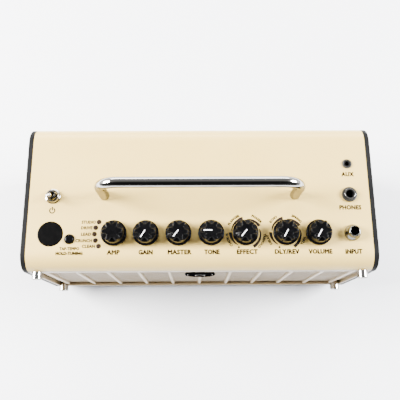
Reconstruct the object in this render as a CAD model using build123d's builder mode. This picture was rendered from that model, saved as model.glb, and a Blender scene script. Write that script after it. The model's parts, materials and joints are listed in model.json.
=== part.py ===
"""A compact desktop guitar amplifier with seven knobs, built from its separate pieces.

A shell of four mouldings between two side cheeks holds two small speakers behind a ribbed
grille, a control board under the top panel, a main board and a battery bay. A bent-rod
handle stands on the top panel. Millimetres, +Z up. The grille faces -Y. The origin is the
middle of the footprint, on the surface that the feet stand on.
"""

import os
from math import cos, radians, sin

from build123d import *

os.makedirs("parts", exist_ok=True)


def save(part, name):
    """Labels one finished piece and writes it as its own file."""
    part.label = name
    export_step(part, f"parts/{name}.step")


# ---- Driving dimensions: the case ---------------------------------------------------------
case_width = 272.4  # over both side cheeks
case_depth = 116.3  # front face to rear face
case_height = 120.0  # underside to the top of the panel
top_corner_radius = 14.0  # upper front and rear edges, seen from the side
bottom_corner_radius = 10.0
cheek_thickness = 4.1
cheek_edge_radius = 1.0
panel_thickness = 3.0
floor_thickness = 2.5
rear_thickness = 3.0
frame_thickness = 3.0
front_lip_drop = 10.0  # from the panel top down to the front edge of the top panel
seam = 0.2  # between neighbouring mouldings

# ---- Driving dimensions: fits -------------------------------------------------------------
hole_clearance = 0.2  # round what passes through a panel
seat_clearance = 0.03  # between pieces pushed together
moving_gap = 0.4  # between pieces that move past each other
running_fit = 0.05  # radial, a turning shaft in its bushing

# ---- Driving dimensions: front ------------------------------------------------------------
window_bottom_rise = 15.0  # grille window, above the underside
window_top_margin = 1.0  # grille window, below the top corner's round
window_side_margin = 1.5
grille_thickness = 1.0
grille_overlap = 1.0  # how far the sheet reaches behind its frame, top and sides
rib_spacing = 24.5
rib_width = 4.0
rib_height = 2.0
pin_radius = 4.0
pin_reach = 5.2  # in front of the case
pin_side_inset = 6.1  # inner face of a cheek to the pins
pin_low_rise = 3.1  # window's lower edge to the lower pins
pin_high_rise = 0.4  # window's upper edge to the upper pins
pin_shank_radius = 2.0
pin_chamfer = 0.4
badge_radius = 12.0
badge_thickness = 2.3
badge_gap = 0.5  # grille frame to the badge's edge
badge_round = 0.6

# ---- Driving dimensions: speakers ---------------------------------------------------------
speaker_spacing = 124.0
flange_margin = 4.5  # baffle hole to the flange's straight sides
flange_corner = 8.0
flange_thickness = 1.5
flange_screw_inset = 6.0
baffle_setback = 7.0  # front face of the case to the baffle
baffle_thickness = 5.0
baffle_hole_margin = 0.9  # round the surround
cone_radius = 26.2
cone_depth = 12.0
cone_thickness = 0.8
coil_radius = 10.0
coil_thickness = 0.7
coil_length = 9.0
cap_rise = 5.0  # dust cap's crown in front of the cone's root
cap_sag = 3.2  # dust cap's edge behind its crown
surround_rim = 1.8  # flat rim outside the roll
surround_roll = 2.6
surround_thickness = 0.7
magnet_radius = 24.0
magnet_depth = 15.0
magnet_back = 4.0
basket_depth = 16.5
basket_wall = 1.2
basket_windows = 4
basket_window_corner = 3.0
basket_window_offset = 5.0  # outside the magnet, to the middle of a window
basket_seat_width = 2.0  # of the magnet's edge that the basket sits on
basket_ring_gap = 3.0  # voice coil to the basket's inner ring
surround_seat = 1.0  # of the surround's rim that the flange carries

# ---- Driving dimensions: controls on the top panel ----------------------------------------
control_row_setback = 27.55  # front face to the row of knobs
knob_names = ["amp", "gain", "master", "tone", "effect", "delay", "volume"]
knob_places = [-65.57, -41.17, -16.4, 8.5, 34.6, 65.4, 90.55]  # from the middle of the panel
knob_dials = [327.0, 211.0, 217.6, 270.8, 220.0, 210.0, 209.0]  # pointers, clockwise from the rear
knob_skirt_radius = 9.9
knob_skirt_height = 3.2
knob_lift = 0.9  # knob's underside above the panel
knob_height = 12.0  # knob's top above the panel
knob_roof = 2.0  # knob's top above the end of its shaft
knob_skirt_round = 1.0
knob_top_round = 0.8
knob_lobe_radius = 8.0
knob_lobes = 6
flute_radius = 11.0
flute_circle = 17.6
pointer_width = 1.05
pointer_front = 6.2
pointer_back = 1.0
pointer_depth = 0.3
shaft_radius = 3.0
shaft_flat = 2.0  # axis to the flat of the shaft
pot_body_side = 12.0
pot_body_height = 7.0
pot_base = 1.2
bushing_wall = 0.45
bushing_height = 3.3  # above the panel
pot_nut_wall = 1.5  # bushing to the nut's flats
pot_nut_height = 2.0
pot_washer_width = 2.5
pot_washer_thickness = 0.5

toggle_side_inset = 18.25  # inner face of the left cheek to the toggle switch
toggle_setback = 57.2
toggle_body_width = 8.0
toggle_body_length = 13.0
toggle_body_height = 10.0
toggle_bushing_wall = 0.5
toggle_bushing_height = 5.0
toggle_nut_wall = 1.0  # bushing to the nut's flats
toggle_nut_height = 2.0
toggle_washer_width = 3.0
toggle_washer_thickness = 0.8
toggle_pivot_rise = 1.0
toggle_ball_radius = 2.1
toggle_lever_length = 11.4  # pivot to tip
toggle_lever_root = 1.2
toggle_lever_tip = 1.6
toggle_rest_lean = 10.0  # degrees, towards the front

display_side_inset = 18.0
display_radius = 9.8
display_proud = 0.3
display_rim = 0.06  # upright edge under the lens's bevel
display_module_side = 17.6
button_side_inset = 32.7
button_setback = 23.5
button_radius = 3.6
button_proud = 1.2
button_dome = 1.0
button_flange_radius = 4.6
button_flange_thickness = 0.8
button_travel = 0.8
tap_switch_side = 6.0
tap_plunger_height = 1.0
tap_plunger_radius = 1.5
led_count = 5
led_arc_radius = 14.9
led_arc_start = 142.0  # degrees anticlockwise from +X, round the first knob
led_arc_step = 19.5
led_radius = 1.45
led_proud = 0.4
board_thickness = 1.6
board_front_gap = 1.5  # speaker flange to the control board
board_rear_reach = 18.3  # control row to the board's rear edge
board_left_inset = 7.0
board_right_inset = 27.5

jack_side_inset = 15.6
input_jack_setback = 27.4
phones_jack_setback = 57.8
aux_jack_setback = 83.0
jack_bore_radius = 3.25
jack_sleeve_wall = 1.25
jack_body_width = 15.0
jack_body_length = 18.0
jack_body_height = 22.0
jack_base = 2.0
input_barrel_wall = 1.7  # nut's foot, outside the sleeve
input_foot_height = 2.2
input_cone_height = 4.6  # panel to the top of the cone between foot and tip
input_neck_wall = 1.4  # outside the bore, at the top of the cone
input_tip_wall = 0.9
input_barrel_height = 7.5
input_sleeve_height = 1.6
phones_nut_wall = 1.4  # outside the sleeve
phones_nut_height = 2.0
phones_nut_round = 0.5
phones_sleeve_height = 2.6
aux_bore_radius = 1.8
aux_sleeve_wall = 0.8
aux_ring_wall = 1.2
aux_ring_height = 1.0
aux_ring_round = 0.4
aux_body_width = 10.0
aux_body_length = 12.0
aux_body_height = 14.0

# ---- Driving dimensions: handle, feet and fasteners ---------------------------------------
handle_setback = 57.8
handle_span = 148.0  # between the legs' axes
handle_rod_radius = 4.0
handle_height = 39.0  # panel top to the top of the bar
handle_bend_radius = 15.0
handle_screw_radius = 2.0
handle_screw_grip = 9.0
handle_screw_head_radius = 4.0
handle_screw_head = 3.0
handle_washer_radius = 6.0
handle_washer_thickness = 1.0
foot_height = 8.0
foot_radius = 9.0
foot_taper = 0.6
foot_side_inset = 23.5
foot_end_inset = 17.0
foot_recess_radius = 4.0
foot_recess_depth = 5.0
foot_screw_radius = 1.5
foot_screw_head_radius = 3.0
foot_screw_head = 2.0
foot_boss_radius = 4.0
foot_boss_height = 6.0
post_side = 9.0
post_length = 11.0
post_low_rise = 32.0  # underside to the lower posts
post_high_drop = 34.0  # panel top to the upper posts
screw_radius = 1.4
screw_head_radius = 2.8
screw_head = 1.6
screw_grip = 8.0
screw_tip_gap = 1.0  # a screw's tip to the end of its hole

# ---- Driving dimensions: inside and rear --------------------------------------------------
cell_diameter = 14.5
cell_length = 50.5
cells_across = 4
cells_along = 2
contact_room = 4.0  # for the springs of one row of cells
contact_thickness = 0.5
contact_width = 9.0
contact_height = 11.0
bay_wall = 1.5
cell_room = 1.0  # spare height over the cells and spare width beside them
door_thickness = 2.1
door_tongue_width = 10.0
door_tongue_spacing = 60.0
door_tongue_reach = 3.0
door_tongue_thickness = 1.5
door_tongue_root = 3.6
door_slot_height = 6.5
door_grip_length = 24.0
door_grip_width = 3.0
door_grip_depth = 0.8
door_grip_count = 3
door_grip_inset = 12.0  # rear of the bay to the middle grip
main_board_gap = 8.5  # battery bay's roof to the underside of the main board
main_board_half_width = 115.0
main_board_depth = 56.0
main_board_rear_gap = 6.0
standoff_radius = 3.0
standoff_spacing_x = 196.0
standoff_inset_y = 8.0
usb_place = 30.0
usb_width = 12.0
usb_height = 11.0
usb_depth = 16.0
usb_shell = 0.8
usb_cavity_depth = 9.0
usb_tongue_width = 5.6
usb_tongue_height = 3.2
usb_recess = 1.0  # socket's mouth behind the rear face
dc_place = -30.0
dc_width = 9.0
dc_height = 11.0
dc_depth = 14.0
dc_bore_radius = 2.9
dc_pin_radius = 1.05
dc_bore_depth = 9.5
dc_panel_hole_radius = 4.4
vent_length = 46.0
vent_height = 2.4
vent_pitch = 6.0
vent_rows = 6
vent_places = [-75.0, 0.0, 75.0]
vent_centre_drop = 42.0

# ---- Planes and levels worked out from them -----------------------------------------------
front_y = (pin_reach - case_depth) / 2
rear_y = front_y + case_depth
middle_y = (front_y + rear_y) / 2
panel_z = foot_height + case_height
middle_z = foot_height + case_height / 2
under_panel_z = panel_z - panel_thickness
floor_z = foot_height + floor_thickness
inner_half_width = case_width / 2 - cheek_thickness
front_lip_z = panel_z - front_lip_drop
rear_joint_z = panel_z - top_corner_radius
bottom_joint_z = foot_height + bottom_corner_radius
window_low_z = foot_height + window_bottom_rise
window_high_z = rear_joint_z - window_top_margin
window_half_width = inner_half_width - window_side_margin
rib_pairs = int((window_half_width - rib_width) / rib_spacing)
surround_radius = cone_radius + moving_gap + 2 * surround_roll + surround_rim
baffle_hole_radius = surround_radius + baffle_hole_margin
speaker_flange = 2 * (baffle_hole_radius + flange_margin)
speaker_screw_spacing = speaker_flange - 2 * flange_screw_inset
speaker_z = (window_low_z + window_high_z) / 2
baffle_front_y = front_y + baffle_setback
baffle_rear_y = baffle_front_y + baffle_thickness
sheet_front_y = front_y + frame_thickness
control_y = front_y + control_row_setback
board_top_z = under_panel_z - pot_body_height
pin_x = inner_half_width - pin_side_inset
pin_low_z = window_low_z + pin_low_rise
pin_high_z = window_high_z + pin_high_rise
post_low_z = foot_height + post_low_rise
post_high_z = panel_z - post_high_drop
post_x = inner_half_width - post_side / 2
toggle_x = -(inner_half_width - toggle_side_inset)
toggle_y = front_y + toggle_setback
toggle_pivot_z = panel_z + toggle_pivot_rise
toggle_bore_radius = toggle_ball_radius + moving_gap
toggle_bushing_radius = toggle_bore_radius + toggle_bushing_wall
toggle_nut_flats = 2 * (toggle_bushing_radius + toggle_nut_wall)
toggle_washer_radius = toggle_bushing_radius + toggle_washer_width
bushing_radius = shaft_radius + running_fit + bushing_wall
pot_nut_flats = 2 * (bushing_radius + pot_nut_wall)
pot_washer_radius = bushing_radius + pot_washer_width
jack_sleeve_radius = jack_bore_radius + jack_sleeve_wall
input_barrel_radius = jack_sleeve_radius + input_barrel_wall
phones_nut_radius = jack_sleeve_radius + phones_nut_wall
aux_sleeve_radius = aux_bore_radius + aux_sleeve_wall
aux_ring_radius = aux_sleeve_radius + aux_ring_wall
display_x = -(inner_half_width - display_side_inset)
button_x = -(inner_half_width - button_side_inset)
button_y = front_y + button_setback
jack_x = inner_half_width - jack_side_inset
input_y = front_y + input_jack_setback
phones_y = front_y + phones_jack_setback
aux_y = front_y + aux_jack_setback
handle_y = front_y + handle_setback
foot_x = case_width / 2 - foot_side_inset
bay_length = cells_along * (cell_length + contact_room)
bay_width = cells_across * cell_diameter + cell_room
bay_height = cell_diameter + cell_room
bay_rear_y = rear_y - bottom_corner_radius - bay_wall
bay_front_y = bay_rear_y - bay_width
bay_middle_y = (bay_front_y + bay_rear_y) / 2
bay_roof_z = floor_z + bay_height
main_board_rise = bay_height + bay_wall + main_board_gap
main_board_z = floor_z + main_board_rise
main_board_top_z = main_board_z + board_thickness
main_board_rear_y = rear_y - rear_thickness - main_board_rear_gap
main_board_middle_y = main_board_rear_y - main_board_depth / 2

led_places = []
for led in range(led_count):
    led_angle = radians(led_arc_start + led * led_arc_step)
    led_x = knob_places[0] + led_arc_radius * cos(led_angle)
    led_places.append((led_x, control_y + led_arc_radius * sin(led_angle)))
foot_places = [(x, y) for x in (-foot_x, foot_x) for y in (front_y + foot_end_inset, rear_y - foot_end_inset)]
pin_places = [(x, z) for x in (-pin_x, pin_x) for z in (pin_low_z, pin_high_z)]
post_places = [(x, z) for x in (-post_x, post_x) for z in (post_low_z, post_high_z)]
standoff_places = [
    (x, y)
    for x in (-standoff_spacing_x / 2, standoff_spacing_x / 2)
    for y in (main_board_rear_y - main_board_depth + standoff_inset_y, main_board_rear_y - standoff_inset_y)
]


def upright(y):
    """The XZ plane at a given y, facing the front, so that extrude goes towards -Y."""
    return Plane.XZ.offset(-y)


# ---- Case ---------------------------------------------------------------------------------
def case_section(inset):
    """Side view of the case moved inwards by inset, with Y across and Z up."""
    with BuildSketch() as section:
        with Locations((middle_y, middle_z)):
            Rectangle(case_depth - 2 * inset, case_height - 2 * inset)
        fillet(section.vertices().group_by(Axis.Y)[-1], top_corner_radius - inset)
        fillet(section.vertices().group_by(Axis.Y)[0], bottom_corner_radius - inset)
    return section.sketch


def case_strip(thickness, y_low, y_high, z_low, z_high):
    """A stretch of the case's shell between the cheeks, kept inside the given limits."""
    with BuildPart() as strip:
        with BuildSketch(Plane.YZ.offset(-inner_half_width)):
            add(case_section(0))
            add(case_section(thickness), mode=Mode.SUBTRACT)
            with Locations(((y_low + y_high) / 2, (z_low + z_high) / 2)):
                Rectangle(y_high - y_low, z_high - z_low, mode=Mode.INTERSECT)
        extrude(amount=2 * inner_half_width)
    return strip.part


def make_cheek(side):
    """One side cheek with four screw posts inside. side is -1 on the left, 1 on the right."""
    with BuildPart() as cheek:
        with BuildSketch(Plane.YZ.offset(side * inner_half_width)):
            add(case_section(0))
        extrude(amount=side * cheek_thickness)
        outer_face = cheek.faces().sort_by(Axis.X)[-1 if side > 0 else 0]
        fillet(outer_face.edges(), cheek_edge_radius)
        posts = [(side * post_x, z) for z in (post_low_z, post_high_z)]
        with BuildSketch(upright(rear_y - rear_thickness - seam)):
            with Locations(*posts):
                Rectangle(post_side, post_side)
                Circle(screw_radius, mode=Mode.SUBTRACT)
        extrude(amount=post_length)
        with BuildSketch(upright(baffle_rear_y + post_length)):
            with Locations(*posts):
                Rectangle(post_side, post_side)
                Circle(screw_radius, mode=Mode.SUBTRACT)
        extrude(amount=post_length)
    return cheek.part


save(make_cheek(-1), "side_cheek_left")
save(make_cheek(1), "side_cheek_right")

with BuildPart() as top_panel:
    add(case_strip(panel_thickness, front_y, middle_y, front_lip_z, panel_z))
    add(case_strip(panel_thickness, middle_y, rear_y, rear_joint_z, panel_z))
    with BuildSketch(Plane.XY.offset(under_panel_z)):
        with Locations(*[(x, control_y) for x in knob_places]):
            Circle(bushing_radius + hole_clearance)
        with Locations((toggle_x, toggle_y)):
            Circle(toggle_bushing_radius + hole_clearance)
        with Locations((display_x, control_y)):
            Circle(display_radius + seat_clearance)
        with Locations((button_x, button_y)):
            Circle(button_radius + moving_gap)
        with Locations(*led_places):
            Circle(led_radius + seat_clearance)
        with Locations((jack_x, input_y), (jack_x, phones_y)):
            Circle(jack_sleeve_radius + hole_clearance)
        with Locations((jack_x, aux_y)):
            Circle(aux_sleeve_radius + hole_clearance)
        with Locations((-handle_span / 2, handle_y), (handle_span / 2, handle_y)):
            Circle(handle_screw_radius + hole_clearance)
    extrude(amount=panel_thickness, mode=Mode.SUBTRACT)
save(top_panel.part, "top_panel")

with BuildPart() as grille_frame:
    add(case_strip(frame_thickness, front_y, middle_y, bottom_joint_z + seam, front_lip_z - seam))
    with BuildSketch(upright(middle_y)):
        with Locations((0, (window_low_z + window_high_z) / 2)):
            Rectangle(2 * window_half_width, window_high_z - window_low_z)
        with Locations(*pin_places):
            Circle(pin_radius + hole_clearance)
    extrude(amount=case_depth, mode=Mode.SUBTRACT)
save(grille_frame.part, "grille_frame")

with BuildPart() as rear_panel:
    add(case_strip(rear_thickness, middle_y, rear_y, bottom_joint_z + seam, rear_joint_z - seam))
    with BuildSketch(upright(rear_y)):
        for vent_x in vent_places:
            with Locations((vent_x, panel_z - vent_centre_drop)):
                with GridLocations(vent_length, vent_pitch, 1, vent_rows):
                    SlotOverall(vent_length, vent_height)
        with Locations((usb_place, main_board_top_z + usb_height / 2)):
            Rectangle(usb_width + 2 * hole_clearance, usb_height + 2 * hole_clearance)
        with Locations((dc_place, main_board_top_z + dc_height / 2)):
            Circle(dc_panel_hole_radius)
        with Locations(*post_places):
            Circle(screw_radius + hole_clearance)
    extrude(amount=rear_thickness, mode=Mode.SUBTRACT)
    with BuildSketch(upright(rear_y)):
        with Locations(*post_places):
            Circle(screw_head_radius + hole_clearance)
    extrude(amount=screw_head, mode=Mode.SUBTRACT)
save(rear_panel.part, "rear_panel")

with BuildPart() as bottom_chassis:
    add(case_strip(floor_thickness, front_y, rear_y, foot_height, bottom_joint_z))
    with BuildSketch(Plane.XY.offset(floor_z)):
        with Locations(*foot_places):
            Circle(foot_boss_radius)
    extrude(amount=foot_boss_height)
    with BuildSketch(Plane.XY.offset(foot_height)):
        with Locations((0, bay_middle_y)):
            Rectangle(bay_length, bay_width)
        with Locations(*foot_places):
            Circle(foot_screw_radius + seat_clearance)
    extrude(amount=bottom_corner_radius, mode=Mode.SUBTRACT)
save(bottom_chassis.part, "bottom_chassis")

# ---- Front: baffle, grille, pins and badge ------------------------------------------------
with BuildPart() as baffle:
    with BuildSketch(upright(baffle_rear_y)):
        with Locations((0, (bottom_joint_z + rear_joint_z) / 2)):
            Rectangle(2 * (inner_half_width - seam), rear_joint_z - bottom_joint_z)
        with Locations((-speaker_spacing / 2, speaker_z), (speaker_spacing / 2, speaker_z)):
            Circle(baffle_hole_radius, mode=Mode.SUBTRACT)
            with GridLocations(speaker_screw_spacing, speaker_screw_spacing, 2, 2):
                Circle(screw_radius + seat_clearance, mode=Mode.SUBTRACT)
        with Locations(*pin_places):
            Circle(pin_shank_radius + seat_clearance, mode=Mode.SUBTRACT)
        with Locations(*post_places):
            Circle(screw_radius + hole_clearance, mode=Mode.SUBTRACT)
    extrude(amount=baffle_thickness)
    with BuildSketch(upright(baffle_front_y + screw_head)):
        with Locations(*post_places):
            Circle(screw_head_radius + hole_clearance)
    extrude(amount=screw_head, mode=Mode.SUBTRACT)
save(baffle.part, "baffle")

with BuildPart() as grille:
    sheet_half_width = window_half_width + grille_overlap
    sheet_low_z = window_low_z - grille_overlap
    sheet_high_z = window_high_z + grille_overlap
    with BuildSketch(upright(sheet_front_y + grille_thickness)):
        with Locations((0, (sheet_low_z + sheet_high_z) / 2)):
            Rectangle(2 * sheet_half_width, sheet_high_z - sheet_low_z)
    extrude(amount=grille_thickness)
    with BuildSketch(upright(sheet_front_y)):
        with Locations((0, (window_low_z + window_high_z) / 2)):
            with GridLocations(rib_spacing, 1, 2 * rib_pairs + 1, 1):
                Rectangle(rib_width, window_high_z - window_low_z - 2 * seam)
    extrude(amount=rib_height)
    with BuildSketch(upright(sheet_front_y + grille_thickness)):
        with Locations(*pin_places):
            Circle(pin_radius + hole_clearance)
    extrude(amount=grille_thickness + rib_height, mode=Mode.SUBTRACT)
save(grille.part, "grille")

with BuildPart() as grille_pins:
    with BuildSketch(upright(baffle_front_y)):
        with Locations(*pin_places):
            Circle(pin_radius)
    extrude(amount=baffle_setback + pin_reach)
    chamfer(grille_pins.faces().sort_by(Axis.Y)[: len(pin_places)].edges(), pin_chamfer)
    with BuildSketch(upright(baffle_front_y)):
        with Locations(*pin_places):
            Circle(pin_shank_radius)
    extrude(amount=-baffle_thickness)
save(grille_pins.part, "grille_pins")

with BuildPart() as badge:
    with BuildSketch(upright(sheet_front_y - rib_height)):
        with Locations((0, window_high_z - badge_gap - badge_radius)):
            Circle(badge_radius)
    extrude(amount=badge_thickness)
    fillet(badge.faces().sort_by(Axis.Y)[0].edges(), badge_round)
save(badge.part, "badge")

# ---- Speakers -----------------------------------------------------------------------------
flange_y = baffle_rear_y + flange_thickness
magnet_front_y = baffle_rear_y + basket_depth + flange_thickness
speaker_centres = [-speaker_spacing / 2, speaker_spacing / 2]


def speaker_plane(x):
    """The level plane through one speaker's axis, with local Y running to the rear."""
    return Plane(origin=(x, 0, speaker_z), x_dir=(1, 0, 0), z_dir=(0, 0, 1))


def speaker_axis(x):
    """The line that one speaker is turned round."""
    return Axis((x, 0, speaker_z), (0, 1, 0))


def basket_section():
    """Half section of the basket's conical wall and of the ring it stands on."""
    rim = baffle_hole_radius
    seat = magnet_radius - basket_seat_width
    ring = coil_radius + basket_ring_gap
    with BuildSketch() as section:
        with BuildLine():
            Polyline(
                (rim, flange_y - flange_thickness / 2),
                (rim + basket_wall, flange_y - flange_thickness / 2),
                (seat + basket_wall, magnet_front_y),
                (ring, magnet_front_y),
                (ring, magnet_front_y - basket_wall),
                (seat, magnet_front_y - basket_wall),
                close=True,
            )
        make_face()
    return section.sketch


def magnet_section():
    """Half section of the magnet with its pole and the gap that the voice coil moves in."""
    back_y = magnet_front_y + magnet_depth
    gap_floor_y = back_y - magnet_back
    pole_radius = coil_radius - coil_thickness - moving_gap
    gap_radius = coil_radius + moving_gap
    with BuildSketch() as section:
        with BuildLine():
            Polyline(
                (0, magnet_front_y),
                (pole_radius, magnet_front_y),
                (pole_radius, gap_floor_y),
                (gap_radius, gap_floor_y),
                (gap_radius, magnet_front_y),
                (magnet_radius, magnet_front_y),
                (magnet_radius, back_y),
                (0, back_y),
                close=True,
            )
        make_face()
    return section.sketch


def surround_section():
    """Half section of the rubber surround: a flat rim and a roll that stands out in front."""
    inner = cone_radius + moving_gap
    outer = inner + 2 * surround_roll
    middle = inner + surround_roll
    y = baffle_rear_y
    with BuildSketch() as section:
        with BuildLine():
            Line((surround_radius, y), (outer - surround_thickness, y))
            ThreePointArc(
                (outer - surround_thickness, y),
                (middle, y - surround_roll + surround_thickness),
                (inner + surround_thickness, y),
            )
            Line((inner + surround_thickness, y), (inner, y))
            ThreePointArc((inner, y), (middle, y - surround_roll), (outer, y - surround_thickness / 2))
            Line((outer, y - surround_thickness / 2), (surround_radius, y - surround_thickness / 2))
            Line((surround_radius, y - surround_thickness / 2), (surround_radius, y))
        make_face()
    return section.sketch


with BuildPart() as speaker_baskets:
    for centre_x in speaker_centres:
        with BuildSketch(upright(flange_y)):
            with Locations((centre_x, speaker_z)):
                RectangleRounded(speaker_flange, speaker_flange, flange_corner)
                Circle(surround_radius - surround_seat, mode=Mode.SUBTRACT)
                with GridLocations(speaker_screw_spacing, speaker_screw_spacing, 2, 2):
                    Circle(screw_radius + hole_clearance, mode=Mode.SUBTRACT)
        extrude(amount=flange_thickness)
    for centre_x in speaker_centres:
        with BuildSketch(speaker_plane(centre_x)):
            add(basket_section())
        revolve(axis=speaker_axis(centre_x))
    for centre_x in speaker_centres:
        with BuildSketch(upright(magnet_front_y - 2 * basket_wall)):
            with Locations((centre_x, speaker_z)):
                with PolarLocations(magnet_radius + basket_window_offset, basket_windows, start_angle=45):
                    RectangleRounded(speaker_flange / 4, speaker_flange / 3, basket_window_corner)
        extrude(amount=basket_depth - 4 * basket_wall, mode=Mode.SUBTRACT)
save(speaker_baskets.part, "speaker_baskets")

with BuildPart() as speaker_magnets:
    for centre_x in speaker_centres:
        with BuildSketch(speaker_plane(centre_x)):
            add(magnet_section())
        revolve(axis=speaker_axis(centre_x))
save(speaker_magnets.part, "speaker_magnets")

with BuildPart() as speaker_surrounds:
    for centre_x in speaker_centres:
        with BuildSketch(speaker_plane(centre_x)):
            add(surround_section())
        revolve(axis=speaker_axis(centre_x))
save(speaker_surrounds.part, "speaker_surrounds")


def make_cone(centre_x):
    """A paper cone with its dust cap and the former of the voice coil, as one moving piece."""
    back_y = baffle_rear_y + cone_depth
    coil_end_y = back_y + coil_length
    coil_inner = coil_radius - coil_thickness
    cap_y = back_y - cap_rise
    with BuildPart() as cone:
        with BuildSketch(speaker_plane(centre_x)):
            with BuildLine():
                TangentArc((0, cap_y), (coil_radius, cap_y + cap_sag), tangent=(1, 0))
                Polyline(
                    (coil_radius, cap_y + cap_sag),
                    (cone_radius - cone_thickness, baffle_rear_y - cone_thickness),
                    (cone_radius, baffle_rear_y - cone_thickness),
                    (cone_radius, baffle_rear_y),
                    (coil_radius, back_y),
                    (coil_radius, coil_end_y),
                    (coil_inner, coil_end_y),
                    (coil_inner, cap_y + cap_sag + cone_thickness),
                )
                cap_back_y = cap_y + cone_thickness
                TangentArc((0, cap_back_y), (coil_inner, cap_back_y + cap_sag), tangent=(1, 0))
                Line((0, cap_back_y), (0, cap_y))
            make_face()
        revolve(axis=speaker_axis(centre_x))
    return cone.part


save(make_cone(speaker_centres[0]), "speaker_cone_left")
save(make_cone(speaker_centres[1]), "speaker_cone_right")

with BuildPart() as speaker_screws:
    for centre_x in speaker_centres:
        with BuildSketch(upright(flange_y)):
            with Locations((centre_x, speaker_z)):
                with GridLocations(speaker_screw_spacing, speaker_screw_spacing, 2, 2):
                    Circle(screw_radius)
        extrude(amount=flange_thickness + baffle_thickness - screw_tip_gap)
        with BuildSketch(upright(flange_y + screw_head)):
            with Locations((centre_x, speaker_z)):
                with GridLocations(speaker_screw_spacing, speaker_screw_spacing, 2, 2):
                    Circle(screw_head_radius)
        extrude(amount=screw_head)
save(speaker_screws.part, "speaker_screws")

# ---- Knobs, shafts and potentiometers -----------------------------------------------------
washer_top_z = panel_z + pot_washer_thickness
bushing_top_z = panel_z + bushing_height
knob_hollow_z = bushing_top_z + moving_gap
knob_top_z = panel_z + knob_height
knob_hollow_radius = pot_washer_radius + moving_gap
shaft_top_z = knob_top_z - knob_roof
shaft_bottom_z = board_top_z + pot_base + moving_gap


def knob_plane(x, z, dial):
    """A level plane on a knob's axis, whose local Y axis points where the pointer points."""
    return Plane(origin=(x, control_y, z), x_dir=(cos(radians(dial)), -sin(radians(dial)), 0))


def make_knob(x, dial, has_pointer):
    """A fluted knob on a round skirt, turned to its dial angle."""
    with BuildPart() as knob:
        with BuildSketch(knob_plane(x, panel_z + knob_lift, dial)):
            Circle(knob_skirt_radius)
        extrude(amount=knob_skirt_height)
        fillet(knob.faces().sort_by(Axis.Z)[-1].edges(), knob_skirt_round)
        with BuildSketch(knob_plane(x, panel_z + knob_lift, dial)):
            Circle(knob_lobe_radius)
            with PolarLocations(flute_circle, knob_lobes, start_angle=90 + 180 / knob_lobes):
                Circle(flute_radius, mode=Mode.SUBTRACT)
        extrude(amount=knob_height - knob_lift)
        fillet(knob.faces().sort_by(Axis.Z)[-1].edges(), knob_top_round)
        with BuildSketch(knob_plane(x, panel_z + knob_lift, dial)):
            Circle(knob_hollow_radius)
        extrude(amount=knob_hollow_z - panel_z - knob_lift, mode=Mode.SUBTRACT)
        with BuildSketch(knob_plane(x, knob_hollow_z, dial)):
            Circle(shaft_radius + seat_clearance)
            with Locations((0, -shaft_flat - seat_clearance - shaft_radius)):
                Rectangle(3 * shaft_radius, 2 * shaft_radius, mode=Mode.SUBTRACT)
        extrude(amount=shaft_top_z + moving_gap - knob_hollow_z, mode=Mode.SUBTRACT)
        if has_pointer:
            with BuildSketch(knob_plane(x, knob_top_z - pointer_depth, dial)):
                with Locations((0, (pointer_front - pointer_back) / 2)):
                    Rectangle(pointer_width, pointer_front + pointer_back)
            extrude(amount=pointer_depth, mode=Mode.SUBTRACT)
    return knob.part


def make_shaft(x, dial):
    """A round shaft with a flat where the knob sits."""
    with BuildPart() as shaft:
        with BuildSketch(knob_plane(x, shaft_bottom_z, dial)):
            Circle(shaft_radius)
        extrude(amount=shaft_top_z - shaft_bottom_z)
        with BuildSketch(knob_plane(x, knob_hollow_z, dial)):
            with Locations((0, -shaft_flat - shaft_radius)):
                Rectangle(3 * shaft_radius, 2 * shaft_radius)
        extrude(amount=shaft_top_z - knob_hollow_z, mode=Mode.SUBTRACT)
    return shaft.part


def make_pots(places):
    """Square control bodies with threaded bushings, bored for their shafts."""
    with BuildPart() as pots:
        with BuildSketch(Plane.XY.offset(board_top_z)):
            with Locations(*[(x, control_y) for x in places]):
                Rectangle(pot_body_side, pot_body_side)
        extrude(amount=pot_body_height)
        with BuildSketch(Plane.XY.offset(under_panel_z)):
            with Locations(*[(x, control_y) for x in places]):
                Circle(bushing_radius)
        extrude(amount=panel_thickness + bushing_height)
        with BuildSketch(Plane.XY.offset(board_top_z + pot_base)):
            with Locations(*[(x, control_y) for x in places]):
                Circle(shaft_radius + running_fit)
        extrude(amount=bushing_top_z - board_top_z, mode=Mode.SUBTRACT)
    return pots.part


for knob_name, knob_x, knob_dial in zip(knob_names, knob_places, knob_dials):
    save(make_knob(knob_x, knob_dial, knob_name != "amp"), f"{knob_name}_knob")
    save(make_shaft(knob_x, knob_dial), f"{knob_name}_shaft")
save(make_pots(knob_places[1:]), "pot_bodies")
save(make_pots(knob_places[:1]), "amp_encoder")

with BuildPart() as pot_nuts:
    with BuildSketch(Plane.XY.offset(panel_z)):
        with Locations(*[(x, control_y) for x in knob_places]):
            Circle(pot_washer_radius)
            Circle(bushing_radius + seat_clearance, mode=Mode.SUBTRACT)
    extrude(amount=pot_washer_thickness)
    with BuildSketch(Plane.XY.offset(washer_top_z)):
        with Locations(*[(x, control_y) for x in knob_places]):
            RegularPolygon(pot_nut_flats / 2, 6, major_radius=False)
            Circle(bushing_radius + seat_clearance, mode=Mode.SUBTRACT)
    extrude(amount=pot_nut_height)
save(pot_nuts.part, "pot_nuts")

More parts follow.
